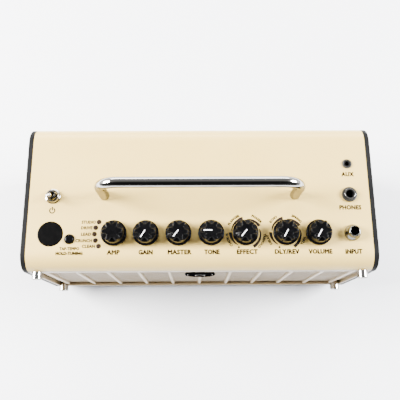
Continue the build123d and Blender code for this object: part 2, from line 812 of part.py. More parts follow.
# ---- Power toggle -------------------------------------------------------------------------
with BuildPart() as toggle_body:
    with BuildSketch(Plane.XY.offset(under_panel_z - toggle_body_height)):
        with Locations((toggle_x, toggle_y)):
            Rectangle(toggle_body_width, toggle_body_length)
    extrude(amount=toggle_body_height)
    with BuildSketch(Plane.XY.offset(under_panel_z)):
        with Locations((toggle_x, toggle_y)):
            Circle(toggle_bushing_radius)
    extrude(amount=panel_thickness + toggle_bushing_height)
    with BuildSketch(Plane.XY.offset(toggle_pivot_z - toggle_ball_radius - moving_gap)):
        with Locations((toggle_x, toggle_y)):
            Circle(toggle_bore_radius)
    extrude(amount=panel_thickness + toggle_bushing_height, mode=Mode.SUBTRACT)
save(toggle_body.part, "toggle_body")

with BuildPart() as toggle_nut:
    with BuildSketch(Plane.XY.offset(panel_z)):
        with Locations((toggle_x, toggle_y)):
            Circle(toggle_washer_radius)
            Circle(toggle_bushing_radius + seat_clearance, mode=Mode.SUBTRACT)
    extrude(amount=toggle_washer_thickness)
    with BuildSketch(Plane.XY.offset(panel_z + toggle_washer_thickness)):
        with Locations((toggle_x, toggle_y)):
            RegularPolygon(toggle_nut_flats / 2, 6, major_radius=False)
            Circle(toggle_bushing_radius + seat_clearance, mode=Mode.SUBTRACT)
    extrude(amount=toggle_nut_height)
save(toggle_nut.part, "toggle_nut")

lean = radians(toggle_rest_lean)
lever_plane = Plane(
    origin=(toggle_x, toggle_y, toggle_pivot_z),
    x_dir=(1, 0, 0),
    z_dir=(0, -sin(lean), cos(lean)),
)
with BuildPart() as toggle_lever:
    with BuildSketch(lever_plane):
        Circle(toggle_lever_root)
    with BuildSketch(lever_plane.offset(toggle_lever_length - toggle_lever_tip)):
        Circle(toggle_lever_tip)
    loft()
    with Locations(lever_plane):
        Sphere(toggle_ball_radius)
    with Locations(lever_plane.offset(toggle_lever_length - toggle_lever_tip)):
        Sphere(toggle_lever_tip)
save(toggle_lever.part, "toggle_lever")

# ---- Display, tap button and indicator lights ---------------------------------------------
with BuildPart() as display_lens:
    with BuildSketch(Plane.XY.offset(under_panel_z)):
        with Locations((display_x, control_y)):
            Circle(display_radius)
    extrude(amount=panel_thickness + display_proud)
    chamfer(display_lens.faces().sort_by(Axis.Z)[-1].edges(), display_proud - display_rim)
save(display_lens.part, "display_lens")

with BuildPart() as display_module:
    with BuildSketch(Plane.XY.offset(board_top_z)):
        with Locations((display_x, control_y)):
            Rectangle(display_module_side, display_module_side)
    extrude(amount=under_panel_z - board_top_z)
save(display_module.part, "display_module")

with BuildPart() as tap_button:
    flange_top_z = under_panel_z - moving_gap
    with BuildSketch(Plane.XY.offset(flange_top_z - button_flange_thickness)):
        with Locations((button_x, button_y)):
            Circle(button_flange_radius)
    extrude(amount=button_flange_thickness)
    with BuildSketch(Plane.XY.offset(flange_top_z)):
        with Locations((button_x, button_y)):
            Circle(button_radius)
    extrude(amount=moving_gap + panel_thickness + button_proud + button_dome)
    fillet(tap_button.faces().sort_by(Axis.Z)[-1].edges(), button_dome)
save(tap_button.part, "tap_button")

with BuildPart() as tap_switch:
    flange_low_z = under_panel_z - moving_gap - button_flange_thickness
    switch_top_z = flange_low_z - button_travel - moving_gap
    with BuildSketch(Plane.XY.offset(board_top_z)):
        with Locations((button_x, button_y)):
            Rectangle(tap_switch_side, tap_switch_side)
    extrude(amount=switch_top_z - tap_plunger_height - board_top_z)
    with BuildSketch(Plane.XY.offset(switch_top_z - tap_plunger_height)):
        with Locations((button_x, button_y)):
            Circle(tap_plunger_radius)
    extrude(amount=tap_plunger_height)
save(tap_switch.part, "tap_switch")

with BuildPart() as amp_leds:
    with BuildSketch(Plane.XY.offset(board_top_z)):
        with Locations(*led_places):
            Circle(led_radius)
    extrude(amount=panel_z + led_proud - board_top_z)
    fillet(amp_leds.faces().group_by(Axis.Z)[-1].edges(), led_proud)
save(amp_leds.part, "amp_leds")

with BuildPart() as control_board:
    board_low_x = -inner_half_width + board_left_inset
    board_high_x = inner_half_width - board_right_inset
    board_low_y = flange_y + board_front_gap
    board_high_y = control_y + board_rear_reach
    with BuildSketch(Plane.XY.offset(board_top_z - board_thickness)):
        with Locations(((board_low_x + board_high_x) / 2, (board_low_y + board_high_y) / 2)):
            Rectangle(board_high_x - board_low_x, board_high_y - board_low_y)
    extrude(amount=board_thickness)
save(control_board.part, "control_board")

# ---- Jacks --------------------------------------------------------------------------------
def make_jack(y, sleeve_height):
    """A boxed quarter-inch socket below the panel with a sleeve that stands up through it."""
    with BuildPart() as jack:
        with BuildSketch(Plane.XY.offset(under_panel_z - jack_body_height)):
            with Locations((jack_x, y)):
                Rectangle(jack_body_width, jack_body_length)
        extrude(amount=jack_body_height)
        with BuildSketch(Plane.XY.offset(under_panel_z)):
            with Locations((jack_x, y)):
                Circle(jack_sleeve_radius)
        extrude(amount=panel_thickness + sleeve_height)
        with BuildSketch(Plane.XY.offset(under_panel_z - jack_body_height + jack_base)):
            with Locations((jack_x, y)):
                Circle(jack_bore_radius)
        extrude(amount=jack_body_height + panel_thickness + sleeve_height, mode=Mode.SUBTRACT)
    return jack.part


save(make_jack(input_y, input_sleeve_height), "input_jack_body")
save(make_jack(phones_y, phones_sleeve_height), "phones_jack_body")

with BuildPart() as input_jack_barrel:
    with BuildSketch(Plane(origin=(jack_x, input_y, panel_z), x_dir=(1, 0, 0), z_dir=(0, -1, 0))):
        with BuildLine():
            Polyline(
                (jack_bore_radius, input_sleeve_height),
                (jack_sleeve_radius + seat_clearance, input_sleeve_height),
                (jack_sleeve_radius + seat_clearance, 0),
                (input_barrel_radius, 0),
                (input_barrel_radius, input_foot_height),
                (jack_bore_radius + input_neck_wall, input_cone_height),
                (jack_bore_radius + input_tip_wall, input_barrel_height - input_tip_wall / 2),
                (jack_bore_radius + input_tip_wall / 2, input_barrel_height),
                (jack_bore_radius, input_barrel_height),
                close=True,
            )
        make_face()
    revolve(axis=Axis((jack_x, input_y, 0), (0, 0, 1)))
save(input_jack_barrel.part, "input_jack_barrel")

with BuildPart() as phones_jack_nut:
    with BuildSketch(Plane.XY.offset(panel_z)):
        with Locations((jack_x, phones_y)):
            Circle(phones_nut_radius)
            Circle(jack_sleeve_radius + seat_clearance, mode=Mode.SUBTRACT)
    extrude(amount=phones_nut_height)
    fillet(phones_jack_nut.faces().sort_by(Axis.Z)[-1].outer_wire().edges(), phones_nut_round)
save(phones_jack_nut.part, "phones_jack_nut")

with BuildPart() as aux_jack_body:
    with BuildSketch(Plane.XY.offset(under_panel_z - aux_body_height)):
        with Locations((jack_x, aux_y)):
            Rectangle(aux_body_width, aux_body_length)
    extrude(amount=aux_body_height)
    with BuildSketch(Plane.XY.offset(under_panel_z)):
        with Locations((jack_x, aux_y)):
            Circle(aux_sleeve_radius)
    extrude(amount=panel_thickness + aux_ring_height)
    with BuildSketch(Plane.XY.offset(under_panel_z - aux_body_height + jack_base)):
        with Locations((jack_x, aux_y)):
            Circle(aux_bore_radius)
    extrude(amount=aux_body_height + panel_thickness, mode=Mode.SUBTRACT)
save(aux_jack_body.part, "aux_jack_body")

with BuildPart() as aux_jack_ring:
    with BuildSketch(Plane.XY.offset(panel_z)):
        with Locations((jack_x, aux_y)):
            Circle(aux_ring_radius)
            Circle(aux_sleeve_radius + seat_clearance, mode=Mode.SUBTRACT)
    extrude(amount=aux_ring_height)
    fillet(aux_jack_ring.faces().sort_by(Axis.Z)[-1].outer_wire().edges(), aux_ring_round)
save(aux_jack_ring.part, "aux_jack_ring")

# ---- Handle -------------------------------------------------------------------------------
bar_z = panel_z + handle_height - handle_rod_radius
with BuildPart() as carry_handle:
    with BuildLine(Plane(origin=(0, handle_y, 0), x_dir=(1, 0, 0), z_dir=(0, -1, 0))):
        FilletPolyline(
            (-handle_span / 2, panel_z),
            (-handle_span / 2, bar_z),
            (handle_span / 2, bar_z),
            (handle_span / 2, panel_z),
            radius=handle_bend_radius,
        )
    with BuildSketch(Plane.XY.offset(panel_z)):
        with Locations((-handle_span / 2, handle_y)):
            Circle(handle_rod_radius)
    sweep()
    with BuildSketch(Plane.XY.offset(panel_z)):
        with Locations((-handle_span / 2, handle_y), (handle_span / 2, handle_y)):
            Circle(handle_screw_radius + seat_clearance)
    extrude(amount=handle_screw_grip + screw_tip_gap, mode=Mode.SUBTRACT)
save(carry_handle.part, "carry_handle")

with BuildPart() as handle_screws:
    handle_legs = [(-handle_span / 2, handle_y), (handle_span / 2, handle_y)]
    washer_low_z = under_panel_z - handle_washer_thickness
    with BuildSketch(Plane.XY.offset(washer_low_z - handle_screw_head)):
        with Locations(*handle_legs):
            Circle(handle_screw_head_radius)
    extrude(amount=handle_screw_head)
    with BuildSketch(Plane.XY.offset(washer_low_z)):
        with Locations(*handle_legs):
            Circle(handle_washer_radius)
    extrude(amount=handle_washer_thickness)
    with BuildSketch(Plane.XY.offset(under_panel_z)):
        with Locations(*handle_legs):
            Circle(handle_screw_radius)
    extrude(amount=panel_thickness + handle_screw_grip)
save(handle_screws.part, "handle_screws")

# ---- Feet and case screws -----------------------------------------------------------------
with BuildPart() as feet:
    with BuildSketch(Plane.XY):
        with Locations(*foot_places):
            Circle(foot_radius)
    extrude(amount=foot_height)
    chamfer(feet.faces().group_by(Axis.Z)[0].edges(), foot_taper)
    with BuildSketch(Plane.XY):
        with Locations(*foot_places):
            Circle(foot_recess_radius)
    extrude(amount=foot_recess_depth, mode=Mode.SUBTRACT)
    with BuildSketch(Plane.XY):
        with Locations(*foot_places):
            Circle(foot_screw_radius + seat_clearance)
    extrude(amount=foot_height, mode=Mode.SUBTRACT)
save(feet.part, "feet")

with BuildPart() as foot_screws:
    with BuildSketch(Plane.XY.offset(foot_recess_depth - foot_screw_head)):
        with Locations(*foot_places):
            Circle(foot_screw_head_radius)
    extrude(amount=foot_screw_head)
    with BuildSketch(Plane.XY.offset(foot_recess_depth)):
        with Locations(*foot_places):
            Circle(foot_screw_radius)
    extrude(amount=floor_z + foot_boss_height - screw_tip_gap - foot_recess_depth)
save(foot_screws.part, "foot_screws")

with BuildPart() as case_screws:
    with BuildSketch(upright(rear_y)):
        with Locations(*post_places):
            Circle(screw_head_radius)
    extrude(amount=screw_head)
    with BuildSketch(upright(rear_y - screw_head)):
        with Locations(*post_places):
            Circle(screw_radius - seat_clearance)
    extrude(amount=screw_grip)
    with BuildSketch(upright(baffle_front_y + screw_head)):
        with Locations(*post_places):
            Circle(screw_head_radius)
    extrude(amount=screw_head)
    with BuildSketch(upright(baffle_front_y + screw_head)):
        with Locations(*post_places):
            Circle(screw_radius - seat_clearance)
    extrude(amount=-screw_grip)
save(case_screws.part, "case_screws")

# ---- Battery bay --------------------------------------------------------------------------
tongue_places = [-door_tongue_spacing / 2, door_tongue_spacing / 2]
with BuildPart() as battery_box:
    with BuildSketch(Plane.XY.offset(floor_z)):
        with Locations((0, bay_middle_y)):
            Rectangle(bay_length + 2 * bay_wall, bay_width + 2 * bay_wall)
    extrude(amount=bay_height + bay_wall)
    with BuildSketch(Plane.XY.offset(floor_z)):
        with Locations((0, bay_middle_y)):
            Rectangle(bay_length, bay_width)
    extrude(amount=bay_height, mode=Mode.SUBTRACT)
    with BuildSketch(Plane.XY.offset(floor_z)):
        with Locations(*[(x, bay_front_y - bay_wall / 2) for x in tongue_places]):
            Rectangle(door_tongue_width + 2 * moving_gap, 2 * bay_wall)
    extrude(amount=door_slot_height, mode=Mode.SUBTRACT)
save(battery_box.part, "battery_box")

with BuildPart() as battery_contacts:
    row_start = bay_front_y + cell_room / 2 + cell_diameter / 2
    contact_rows = [row_start + row * cell_diameter for row in range(cells_across)]
    contact_x = (bay_length - contact_thickness) / 2
    with BuildSketch(Plane.XY.offset(bay_roof_z - contact_height)):
        with Locations(*[(x, y) for x in (-contact_x, contact_x) for y in contact_rows]):
            Rectangle(contact_thickness, contact_width)
    extrude(amount=contact_height)
save(battery_contacts.part, "battery_contacts")

with BuildPart() as battery_door:
    hinge_y = bay_front_y
    with BuildSketch(Plane.XY.offset(foot_height)):
        with Locations((0, bay_middle_y)):
            Rectangle(bay_length - 2 * moving_gap, bay_width - 2 * moving_gap)
    extrude(amount=door_thickness)
    tongue_low_z = floor_z + moving_gap
    tongue_high_z = tongue_low_z + door_tongue_thickness
    root_y = hinge_y + moving_gap + door_tongue_root / 2
    with BuildSketch(Plane.XY.offset(foot_height + door_thickness)):
        with Locations(*[(x, root_y) for x in tongue_places]):
            Rectangle(door_tongue_width, door_tongue_root)
    extrude(amount=tongue_high_z - foot_height - door_thickness)
    tongue_length = door_tongue_reach + moving_gap + door_tongue_root
    with BuildSketch(Plane.XY.offset(tongue_low_z)):
        with Locations(*[(x, hinge_y - door_tongue_reach + tongue_length / 2) for x in tongue_places]):
            Rectangle(door_tongue_width, tongue_length)
    extrude(amount=door_tongue_thickness)
    with BuildSketch(Plane.XY.offset(foot_height)):
        with Locations((0, bay_rear_y - door_grip_inset)):
            with GridLocations(1, 2 * door_grip_width, 1, door_grip_count):
                SlotOverall(door_grip_length, door_grip_width)
    extrude(amount=door_grip_depth, mode=Mode.SUBTRACT)
save(battery_door.part, "battery_door")

# ---- Main board and rear sockets ----------------------------------------------------------
with BuildPart() as main_board:
    with BuildSketch(Plane.XY.offset(main_board_z)):
        with Locations((0, main_board_middle_y)):
            Rectangle(2 * main_board_half_width, main_board_depth)
    extrude(amount=board_thickness)
save(main_board.part, "main_board")

with BuildPart() as board_standoffs:
    with BuildSketch(Plane.XY.offset(floor_z)):
        with Locations(*standoff_places):
            RegularPolygon(standoff_radius, 6)
    extrude(amount=main_board_rise)
save(board_standoffs.part, "board_standoffs")

with BuildPart() as usb_socket:
    usb_mouth_y = rear_y - usb_recess
    usb_z = main_board_top_z + usb_height / 2
    with BuildSketch(upright(usb_mouth_y)):
        with Locations((usb_place, usb_z)):
            Rectangle(usb_width, usb_height)
    extrude(amount=usb_depth)
    with BuildSketch(upright(usb_mouth_y)):
        with Locations((usb_place, usb_z)):
            Rectangle(usb_width - 2 * usb_shell, usb_height - 2 * usb_shell)
            Rectangle(usb_tongue_width, usb_tongue_height, mode=Mode.SUBTRACT)
    extrude(amount=usb_cavity_depth, mode=Mode.SUBTRACT)
save(usb_socket.part, "usb_socket")

with BuildPart() as dc_jack:
    dc_mouth_y = rear_y - rear_thickness
    dc_z = main_board_top_z + dc_height / 2
    with BuildSketch(upright(dc_mouth_y)):
        with Locations((dc_place, dc_z)):
            Rectangle(dc_width, dc_height)
    extrude(amount=dc_depth)
    with BuildSketch(upright(dc_mouth_y)):
        with Locations((dc_place, dc_z)):
            Circle(dc_bore_radius)
            Circle(dc_pin_radius, mode=Mode.SUBTRACT)
    extrude(amount=dc_bore_depth, mode=Mode.SUBTRACT)
save(dc_jack.part, "dc_jack")
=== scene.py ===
"""Looks of the desktop guitar amplifier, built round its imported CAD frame. Metres, +Z up."""

import json
import math

import bmesh
import bpy
from mathutils import Matrix, Vector


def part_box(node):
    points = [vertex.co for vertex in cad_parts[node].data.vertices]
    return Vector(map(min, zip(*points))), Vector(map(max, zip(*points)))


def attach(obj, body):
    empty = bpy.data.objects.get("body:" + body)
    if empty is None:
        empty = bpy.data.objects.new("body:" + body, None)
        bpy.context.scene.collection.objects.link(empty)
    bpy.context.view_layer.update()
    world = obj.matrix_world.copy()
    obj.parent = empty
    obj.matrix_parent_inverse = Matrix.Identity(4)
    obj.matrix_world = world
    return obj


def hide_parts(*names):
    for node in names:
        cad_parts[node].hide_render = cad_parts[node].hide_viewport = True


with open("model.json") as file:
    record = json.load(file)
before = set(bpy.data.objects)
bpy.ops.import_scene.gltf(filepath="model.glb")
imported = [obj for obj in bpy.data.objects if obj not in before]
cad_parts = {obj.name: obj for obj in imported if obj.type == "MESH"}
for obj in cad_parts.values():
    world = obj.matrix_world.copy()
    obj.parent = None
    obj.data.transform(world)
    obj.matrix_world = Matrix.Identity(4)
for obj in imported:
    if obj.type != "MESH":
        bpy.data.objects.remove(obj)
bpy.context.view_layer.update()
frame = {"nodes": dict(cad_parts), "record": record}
MM = 0.001

# ---- Places taken from the frame -----------------------------------------------------------
KNOBS = ("amp", "gain", "master", "tone", "effect", "delay", "volume")
PANEL_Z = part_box("top_panel")[1].z  # top face of the control panel


def middle(node):
    """The middle of a CAD node's box."""
    low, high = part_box(node)
    return (low + high) / 2


def panel_spot(node):
    """The point on the panel's top face under the middle of a CAD node."""
    spot = middle(node)
    spot.z = PANEL_Z
    return spot


def joint_named(name):
    """The record of one joint."""
    return next(joint for joint in frame["record"]["behaviour"]["joints"] if joint["name"] == name)


def joint_place(name):
    """The point that a hinge turns about."""
    return Vector(joint_named(name)["pos_m"])


# ---- Camera and light ----------------------------------------------------------------------
CAMERA_ELEVATION = math.radians(74.82)
CAMERA_YAW = math.radians(1.81)
CAMERA_ROLL = math.radians(1.52)
CAMERA_PLACE = Vector((-3.3, -110.7, 530.1)) * MM
FOCAL_SHARE = 1.3423  # focal length over the frame's width
SENSOR_WIDTH = 36
BACKDROP = 2.3  # brightness low down, behind and beside the object
CEILING = 0.40  # brightness overhead
BACKDROP_ENDS = (0.42, 0.56)  # upward share of a direction where the backdrop gives way
FRONT_SHARE = 0.03  # what is left of the brightness at the front
FRONT_FADE = (-0.42, 0.30)  # backward share of a direction over which the brightness returns


def add_camera():
    """The camera, looking steeply down at the top panel from in front of it."""
    look = Vector(
        (
            math.sin(CAMERA_YAW) * math.cos(CAMERA_ELEVATION),
            math.cos(CAMERA_YAW) * math.cos(CAMERA_ELEVATION),
            -math.sin(CAMERA_ELEVATION),
        )
    )
    right = Vector((math.cos(CAMERA_YAW), -math.sin(CAMERA_YAW), 0))
    up = right.cross(look)
    rolled_right = right * math.cos(CAMERA_ROLL) + up * math.sin(CAMERA_ROLL)
    rolled_up = up * math.cos(CAMERA_ROLL) - right * math.sin(CAMERA_ROLL)
    data = bpy.data.cameras.new("camera")
    data.sensor_width = SENSOR_WIDTH
    data.lens = SENSOR_WIDTH * FOCAL_SHARE
    data.clip_start = 0.01
    camera = bpy.data.objects.new("camera", data)
    turn = Matrix((rolled_right, rolled_up, -look)).transposed()
    camera.matrix_world = Matrix.Translation(CAMERA_PLACE) @ turn.to_4x4()
    bpy.context.collection.objects.link(camera)
    bpy.context.scene.camera = camera


def add_softbox(name, place, size, power, colour=(1, 1, 1)):
    """A rectangular lamp that faces the middle of the top panel."""
    data = bpy.data.lights.new(name, "AREA")
    data.shape = "RECTANGLE"
    data.size, data.size_y = size
    data.energy = power
    data.color = colour
    lamp = bpy.data.objects.new(name, data)
    lamp.location = place
    aim = Vector((0, 0, PANEL_Z)) - Vector(place)
    lamp.rotation_euler = aim.to_track_quat("-Z", "Y").to_euler()
    bpy.context.collection.objects.link(lamp)


def add_world():
    """A studio: a bright backdrop low behind and beside the object, grey overhead, dark at the front."""
    world = bpy.data.worlds.new("studio")
    bpy.context.scene.world = world
    world.use_nodes = True
    nodes, links = world.node_tree.nodes, world.node_tree.links
    nodes.clear()
    place = nodes.new("ShaderNodeTexCoord")
    split = nodes.new("ShaderNodeSeparateXYZ")
    links.new(place.outputs["Generated"], split.inputs[0])
    height = nodes.new("ShaderNodeValToRGB")
    height.color_ramp.elements[0].position = BACKDROP_ENDS[0]
    height.color_ramp.elements[0].color = (BACKDROP, BACKDROP, BACKDROP, 1)
    height.color_ramp.elements[1].position = 1.0
    height.color_ramp.elements[1].color = (CEILING, CEILING, CEILING, 1)
    knee = height.color_ramp.elements.new(BACKDROP_ENDS[1])
    knee.color = (CEILING, CEILING, CEILING, 1)
    links.new(split.outputs["Z"], height.inputs["Fac"])
    front = nodes.new("ShaderNodeMapRange")
    front.interpolation_type = "SMOOTHSTEP"
    front.inputs["From Min"].default_value = FRONT_FADE[0]
    front.inputs["From Max"].default_value = FRONT_FADE[1]
    front.inputs["To Min"].default_value = FRONT_SHARE
    front.inputs["To Max"].default_value = 1.0
    links.new(split.outputs["Y"], front.inputs["Value"])
    shade = nodes.new("ShaderNodeMix")
    shade.data_type = "RGBA"
    shade.blend_type = "MULTIPLY"
    shade.inputs["Factor"].default_value = 1.0
    links.new(height.outputs["Color"], shade.inputs["A"])
    links.new(front.outputs["Result"], shade.inputs["B"])
    background = nodes.new("ShaderNodeBackground")
    links.new(shade.outputs["Result"], background.inputs["Color"])
    out = nodes.new("ShaderNodeOutputWorld")
    links.new(background.outputs["Background"], out.inputs["Surface"])


add_camera()
add_world()
add_softbox("softbox_left", (-1.10, 0.14, 0.85), (0.62, 0.62), 150.0, (1.0, 0.985, 0.96))
add_softbox("softbox_right", (1.15, 0.12, 0.85), (0.55, 0.55), 110.0, (0.985, 0.99, 1.0))
add_softbox("softbox_rear", (0.0, 1.5, 0.75), (1.8, 0.6), 45.0)

# ---- Materials -----------------------------------------------------------------------------
NOISE_SPAN = (0.3, 0.7)  # the range that a noise mostly keeps to


def new_material(name, colour, metallic=0.0, roughness=0.5, coat=0.0, specular=0.5, ior=1.5):
    """A Principled material. Returns it with its nodes, links and shader for more detail."""
    material = bpy.data.materials.new(name)
    material.use_nodes = True
    nodes, links = material.node_tree.nodes, material.node_tree.links
    shader = nodes["Principled BSDF"]
    shader.inputs["Base Color"].default_value = (*colour, 1)
    shader.inputs["Metallic"].default_value = metallic
    shader.inputs["Roughness"].default_value = roughness
    shader.inputs["Coat Weight"].default_value = coat
    shader.inputs["Coat Roughness"].default_value = 0.08
    shader.inputs["Specular IOR Level"].default_value = specular
    shader.inputs["IOR"].default_value = ior
    return material, nodes, links, shader


def place_node(nodes, links, stretch=(1, 1, 1)):
    """Object coordinates, which are the frame's own metres, stretched along each axis."""
    place = nodes.new("ShaderNodeTexCoord")
    mapping = nodes.new("ShaderNodeMapping")
    mapping.inputs["Scale"].default_value = stretch
    links.new(place.outputs["Object"], mapping.inputs["Vector"])
    return mapping.outputs["Vector"]


def noise_node(nodes, links, vector, scale, detail=3.0, roughness=0.55):
    """Noise with features about 1/scale metres across."""
    noise = nodes.new("ShaderNodeTexNoise")
    noise.inputs["Scale"].default_value = scale
    noise.inputs["Detail"].default_value = detail
    noise.inputs["Roughness"].default_value = roughness
    links.new(vector, noise.inputs["Vector"])
    return noise.outputs["Fac"]


def map_range(nodes, links, value, low, high, from_low, from_high):
    """A value moved from one range to another."""
    node = nodes.new("ShaderNodeMapRange")
    node.inputs["From Min"].default_value = from_low
    node.inputs["From Max"].default_value = from_high
    node.inputs["To Min"].default_value = low
    node.inputs["To Max"].default_value = high
    links.new(value, node.inputs["Value"])
    return node.outputs["Result"]


def vary_colour(nodes, links, shader, value, first, second):
    """Base colour that wanders between two colours as the value does."""
    mix = nodes.new("ShaderNodeMix")
    mix.data_type = "RGBA"
    mix.inputs["A"].default_value = (*first, 1)
    mix.inputs["B"].default_value = (*second, 1)
    links.new(value, mix.inputs["Factor"])
    links.new(mix.outputs["Result"], shader.inputs["Base Color"])


def bump(nodes, links, shader, height, strength, distance):
    """Fine relief of the given depth in metres."""
    node = nodes.new("ShaderNodeBump")
    node.inputs["Strength"].default_value = strength
    node.inputs["Distance"].default_value = distance
    links.new(height, node.inputs["Height"])
    links.new(node.outputs["Normal"], shader.inputs["Normal"])


def painted(name, colour, other, grain=1400, depth=0.02, roughness=(0.36, 0.46), coat=0.15):
    """Satin paint with a fine orange peel and a slow drift of tone."""
    material, nodes, links, shader = new_material(name, colour, coat=coat)
    vector = place_node(nodes, links)
    drift = noise_node(nodes, links, vector, 22, 4)
    peel = noise_node(nodes, links, vector, grain, 2)
    patches = noise_node(nodes, links, vector, 60, 5)
    vary_colour(nodes, links, shader, map_range(nodes, links, drift, 0, 1, *NOISE_SPAN), colour, other)
    rough = map_range(nodes, links, patches, *roughness, *NOISE_SPAN)
    links.new(rough, shader.inputs["Roughness"])
    bump(nodes, links, shader, peel, 0.35, depth * MM)
    return material


def moulded(
    name, colour, other, grain=2600, depth=0.06, roughness=(0.42, 0.62), strength=0.5, specular=0.05
):
    """Textured moulding with a leathery fine grain."""
    material, nodes, links, shader = new_material(name, colour, specular=specular)
    vector = place_node(nodes, links)
    cells = nodes.new("ShaderNodeTexVoronoi")
    cells.inputs["Scale"].default_value = grain
    links.new(vector, cells.inputs["Vector"])
    drift = noise_node(nodes, links, vector, 35, 5)
    vary_colour(nodes, links, shader, map_range(nodes, links, drift, 0, 1, *NOISE_SPAN), colour, other)
    links.new(map_range(nodes, links, drift, *roughness, *NOISE_SPAN), shader.inputs["Roughness"])
    bump(nodes, links, shader, cells.outputs["Distance"], strength, depth * MM)
    return material


def plated(name, colour, roughness=(0.04, 0.10), brushed=None, grain=900, edge=1.0):
    """Bright metal with faint handling marks, or brushed along an axis."""
    material, nodes, links, shader = new_material(name, colour, metallic=1.0)
    shader.inputs["Specular Tint"].default_value = (edge, edge * 0.97, edge * 0.9, 1)
    vector = place_node(nodes, links, brushed or (1, 1, 1))
    marks = noise_node(nodes, links, vector, grain, 4)
    smudge = noise_node(nodes, links, place_node(nodes, links), 90, 5)
    links.new(map_range(nodes, links, smudge, *roughness, 0.35, 0.7), shader.inputs["Roughness"])
    shade = [c * 0.93 for c in colour]
    vary_colour(nodes, links, shader, map_range(nodes, links, smudge, 0, 1, *NOISE_SPAN), colour, shade)
    bump(nodes, links, shader, marks, 0.25 if brushed else 0.04, 0.01 * MM)
    return material


def glossy(name, colour, other, roughness=(0.10, 0.17), coat=0.0, specular=0.07):
    """Polished plastic with faint swirls and dust that dulls it in places."""
    material, nodes, links, shader = new_material(name, colour, coat=coat, specular=specular, ior=1.45)
    vector = place_node(nodes, links)
    haze = noise_node(nodes, links, vector, 260, 6)
    ripple = noise_node(nodes, links, vector, 700, 2)
    vary_colour(nodes, links, shader, map_range(nodes, links, haze, 0, 1, 0.35, 0.75), colour, other)
    links.new(map_range(nodes, links, haze, *roughness, *NOISE_SPAN), shader.inputs["Roughness"])
    bump(nodes, links, shader, ripple, 0.12, 0.01 * MM)
    return material


CREAM = painted("cream_paint", (0.600, 0.425, 0.122), (0.578, 0.404, 0.110))
BEIGE = painted("beige_paint", (0.300, 0.222, 0.118), (0.280, 0.204, 0.106), 2200, 0.03)
BLACK = moulded("black_moulding", (0.0040, 0.0040, 0.0042), (0.0065, 0.0065, 0.0068))
CHROME = plated("chrome_plate", (0.52, 0.51, 0.49), (0.07, 0.14), edge=0.4)
HANDLE = plated("handle_chrome", (0.44, 0.43, 0.41), (0.07, 0.13), edge=0.5)
NICKEL = plated("dark_nickel", (0.20, 0.20, 0.185), (0.12, 0.20), edge=0.6)
STEEL = plated("turned_steel", (0.56, 0.56, 0.57), (0.22, 0.34), (1, 1, 9), 1200)
GLOSS = glossy("gloss_black", (0.0012, 0.0012, 0.0014), (0.0022, 0.0022, 0.0024))
SATIN = moulded("satin_black", (0.0060, 0.0060, 0.0058), (0.0100, 0.0098, 0.0092), 1800, 0.03, (0.35, 0.5))
RUBBER = moulded("foot_rubber", (0.0080, 0.0080, 0.0080), (0.0140, 0.0138, 0.0134), 900, 0.12, (0.7, 0.9))
WINDOW = glossy("smoked_window", (0.0010, 0.0010, 0.0011), (0.0015, 0.0014, 0.0014), (0.20, 0.26), 0.0, 0.10)
BADGE = glossy("badge_enamel", (0.0012, 0.0012, 0.0013), (0.0020, 0.0020, 0.0022), (0.34, 0.44), 0.0, 0.0)
LAMP = glossy("lamp_lens", (0.014, 0.009, 0.006), (0.020, 0.012, 0.008), (0.25, 0.35), 0.0)
CIRCUIT = painted("solder_mask", (0.010, 0.080, 0.035), (0.014, 0.110, 0.050), 3000, 0.02)
BRASS = plated("brass_turned", (0.78, 0.60, 0.30), (0.2, 0.32), (1, 1, 8), 1100)
ZINC = plated("black_zinc", (0.06, 0.06, 0.065), (0.30, 0.45), None, 1500)
PAPER = moulded("cone_paper", (0.012, 0.012, 0.013), (0.020, 0.020, 0.020), 1300, 0.15, (0.8, 0.95), 0.8)
INK = painted("panel_ink", (0.010, 0.007, 0.005), (0.016, 0.011, 0.008), 3000, 0.005, (0.5, 0.6), 0.0)
INK.node_tree.nodes["Principled BSDF"].inputs["Specular IOR Level"].default_value = 0.05
JACK = moulded(
    "jack_moulding", (0.016, 0.016, 0.014), (0.026, 0.026, 0.023), 1800, 0.03, (0.35, 0.5), specular=0.25
)
WHITE = painted("pointer_white", (0.84, 0.84, 0.86), (0.78, 0.78, 0.80), 2500, 0.01, (0.3, 0.4))
MESH = painted("grille_paint", (0.310, 0.228, 0.128), (0.285, 0.207, 0.115), 3200, 0.02, (0.45, 0.6), 0.0)
RIB = painted("rib_paint", (0.400, 0.305, 0.180), (0.375, 0.283, 0.165), 2200, 0.02)

SLOT_MATERIALS = {
    "cream_panel": CREAM,
    "black_shell": BLACK,
    "beige_metal": BEIGE,
    "bright_chrome": CHROME,
    "badge_black": BADGE,
    "gloss_black": GLOSS,
    "jack_black": SATIN,
    "board_black": SATIN,
    "display_window": WINDOW,
    "lamp_lens": LAMP,
    "circuit_green": CIRCUIT,
    "brass_parts": BRASS,
    "brushed_metal": STEEL,
    "dark_steel": ZINC,
    "cone_paper": PAPER,
    "soft_rubber": RUBBER,
}
for part in frame["record"]["subparts"]:
    node = frame["nodes"][part["node"]]
    finish = HANDLE if part["node"] == "carry_handle" else SLOT_MATERIALS[part["material_slot"]]
    if not node.material_slots:
        node.data.materials.append(None)
    for slot in node.material_slots:
        slot.material = finish

# ---- Mesh building -------------------------------------------------------------------------


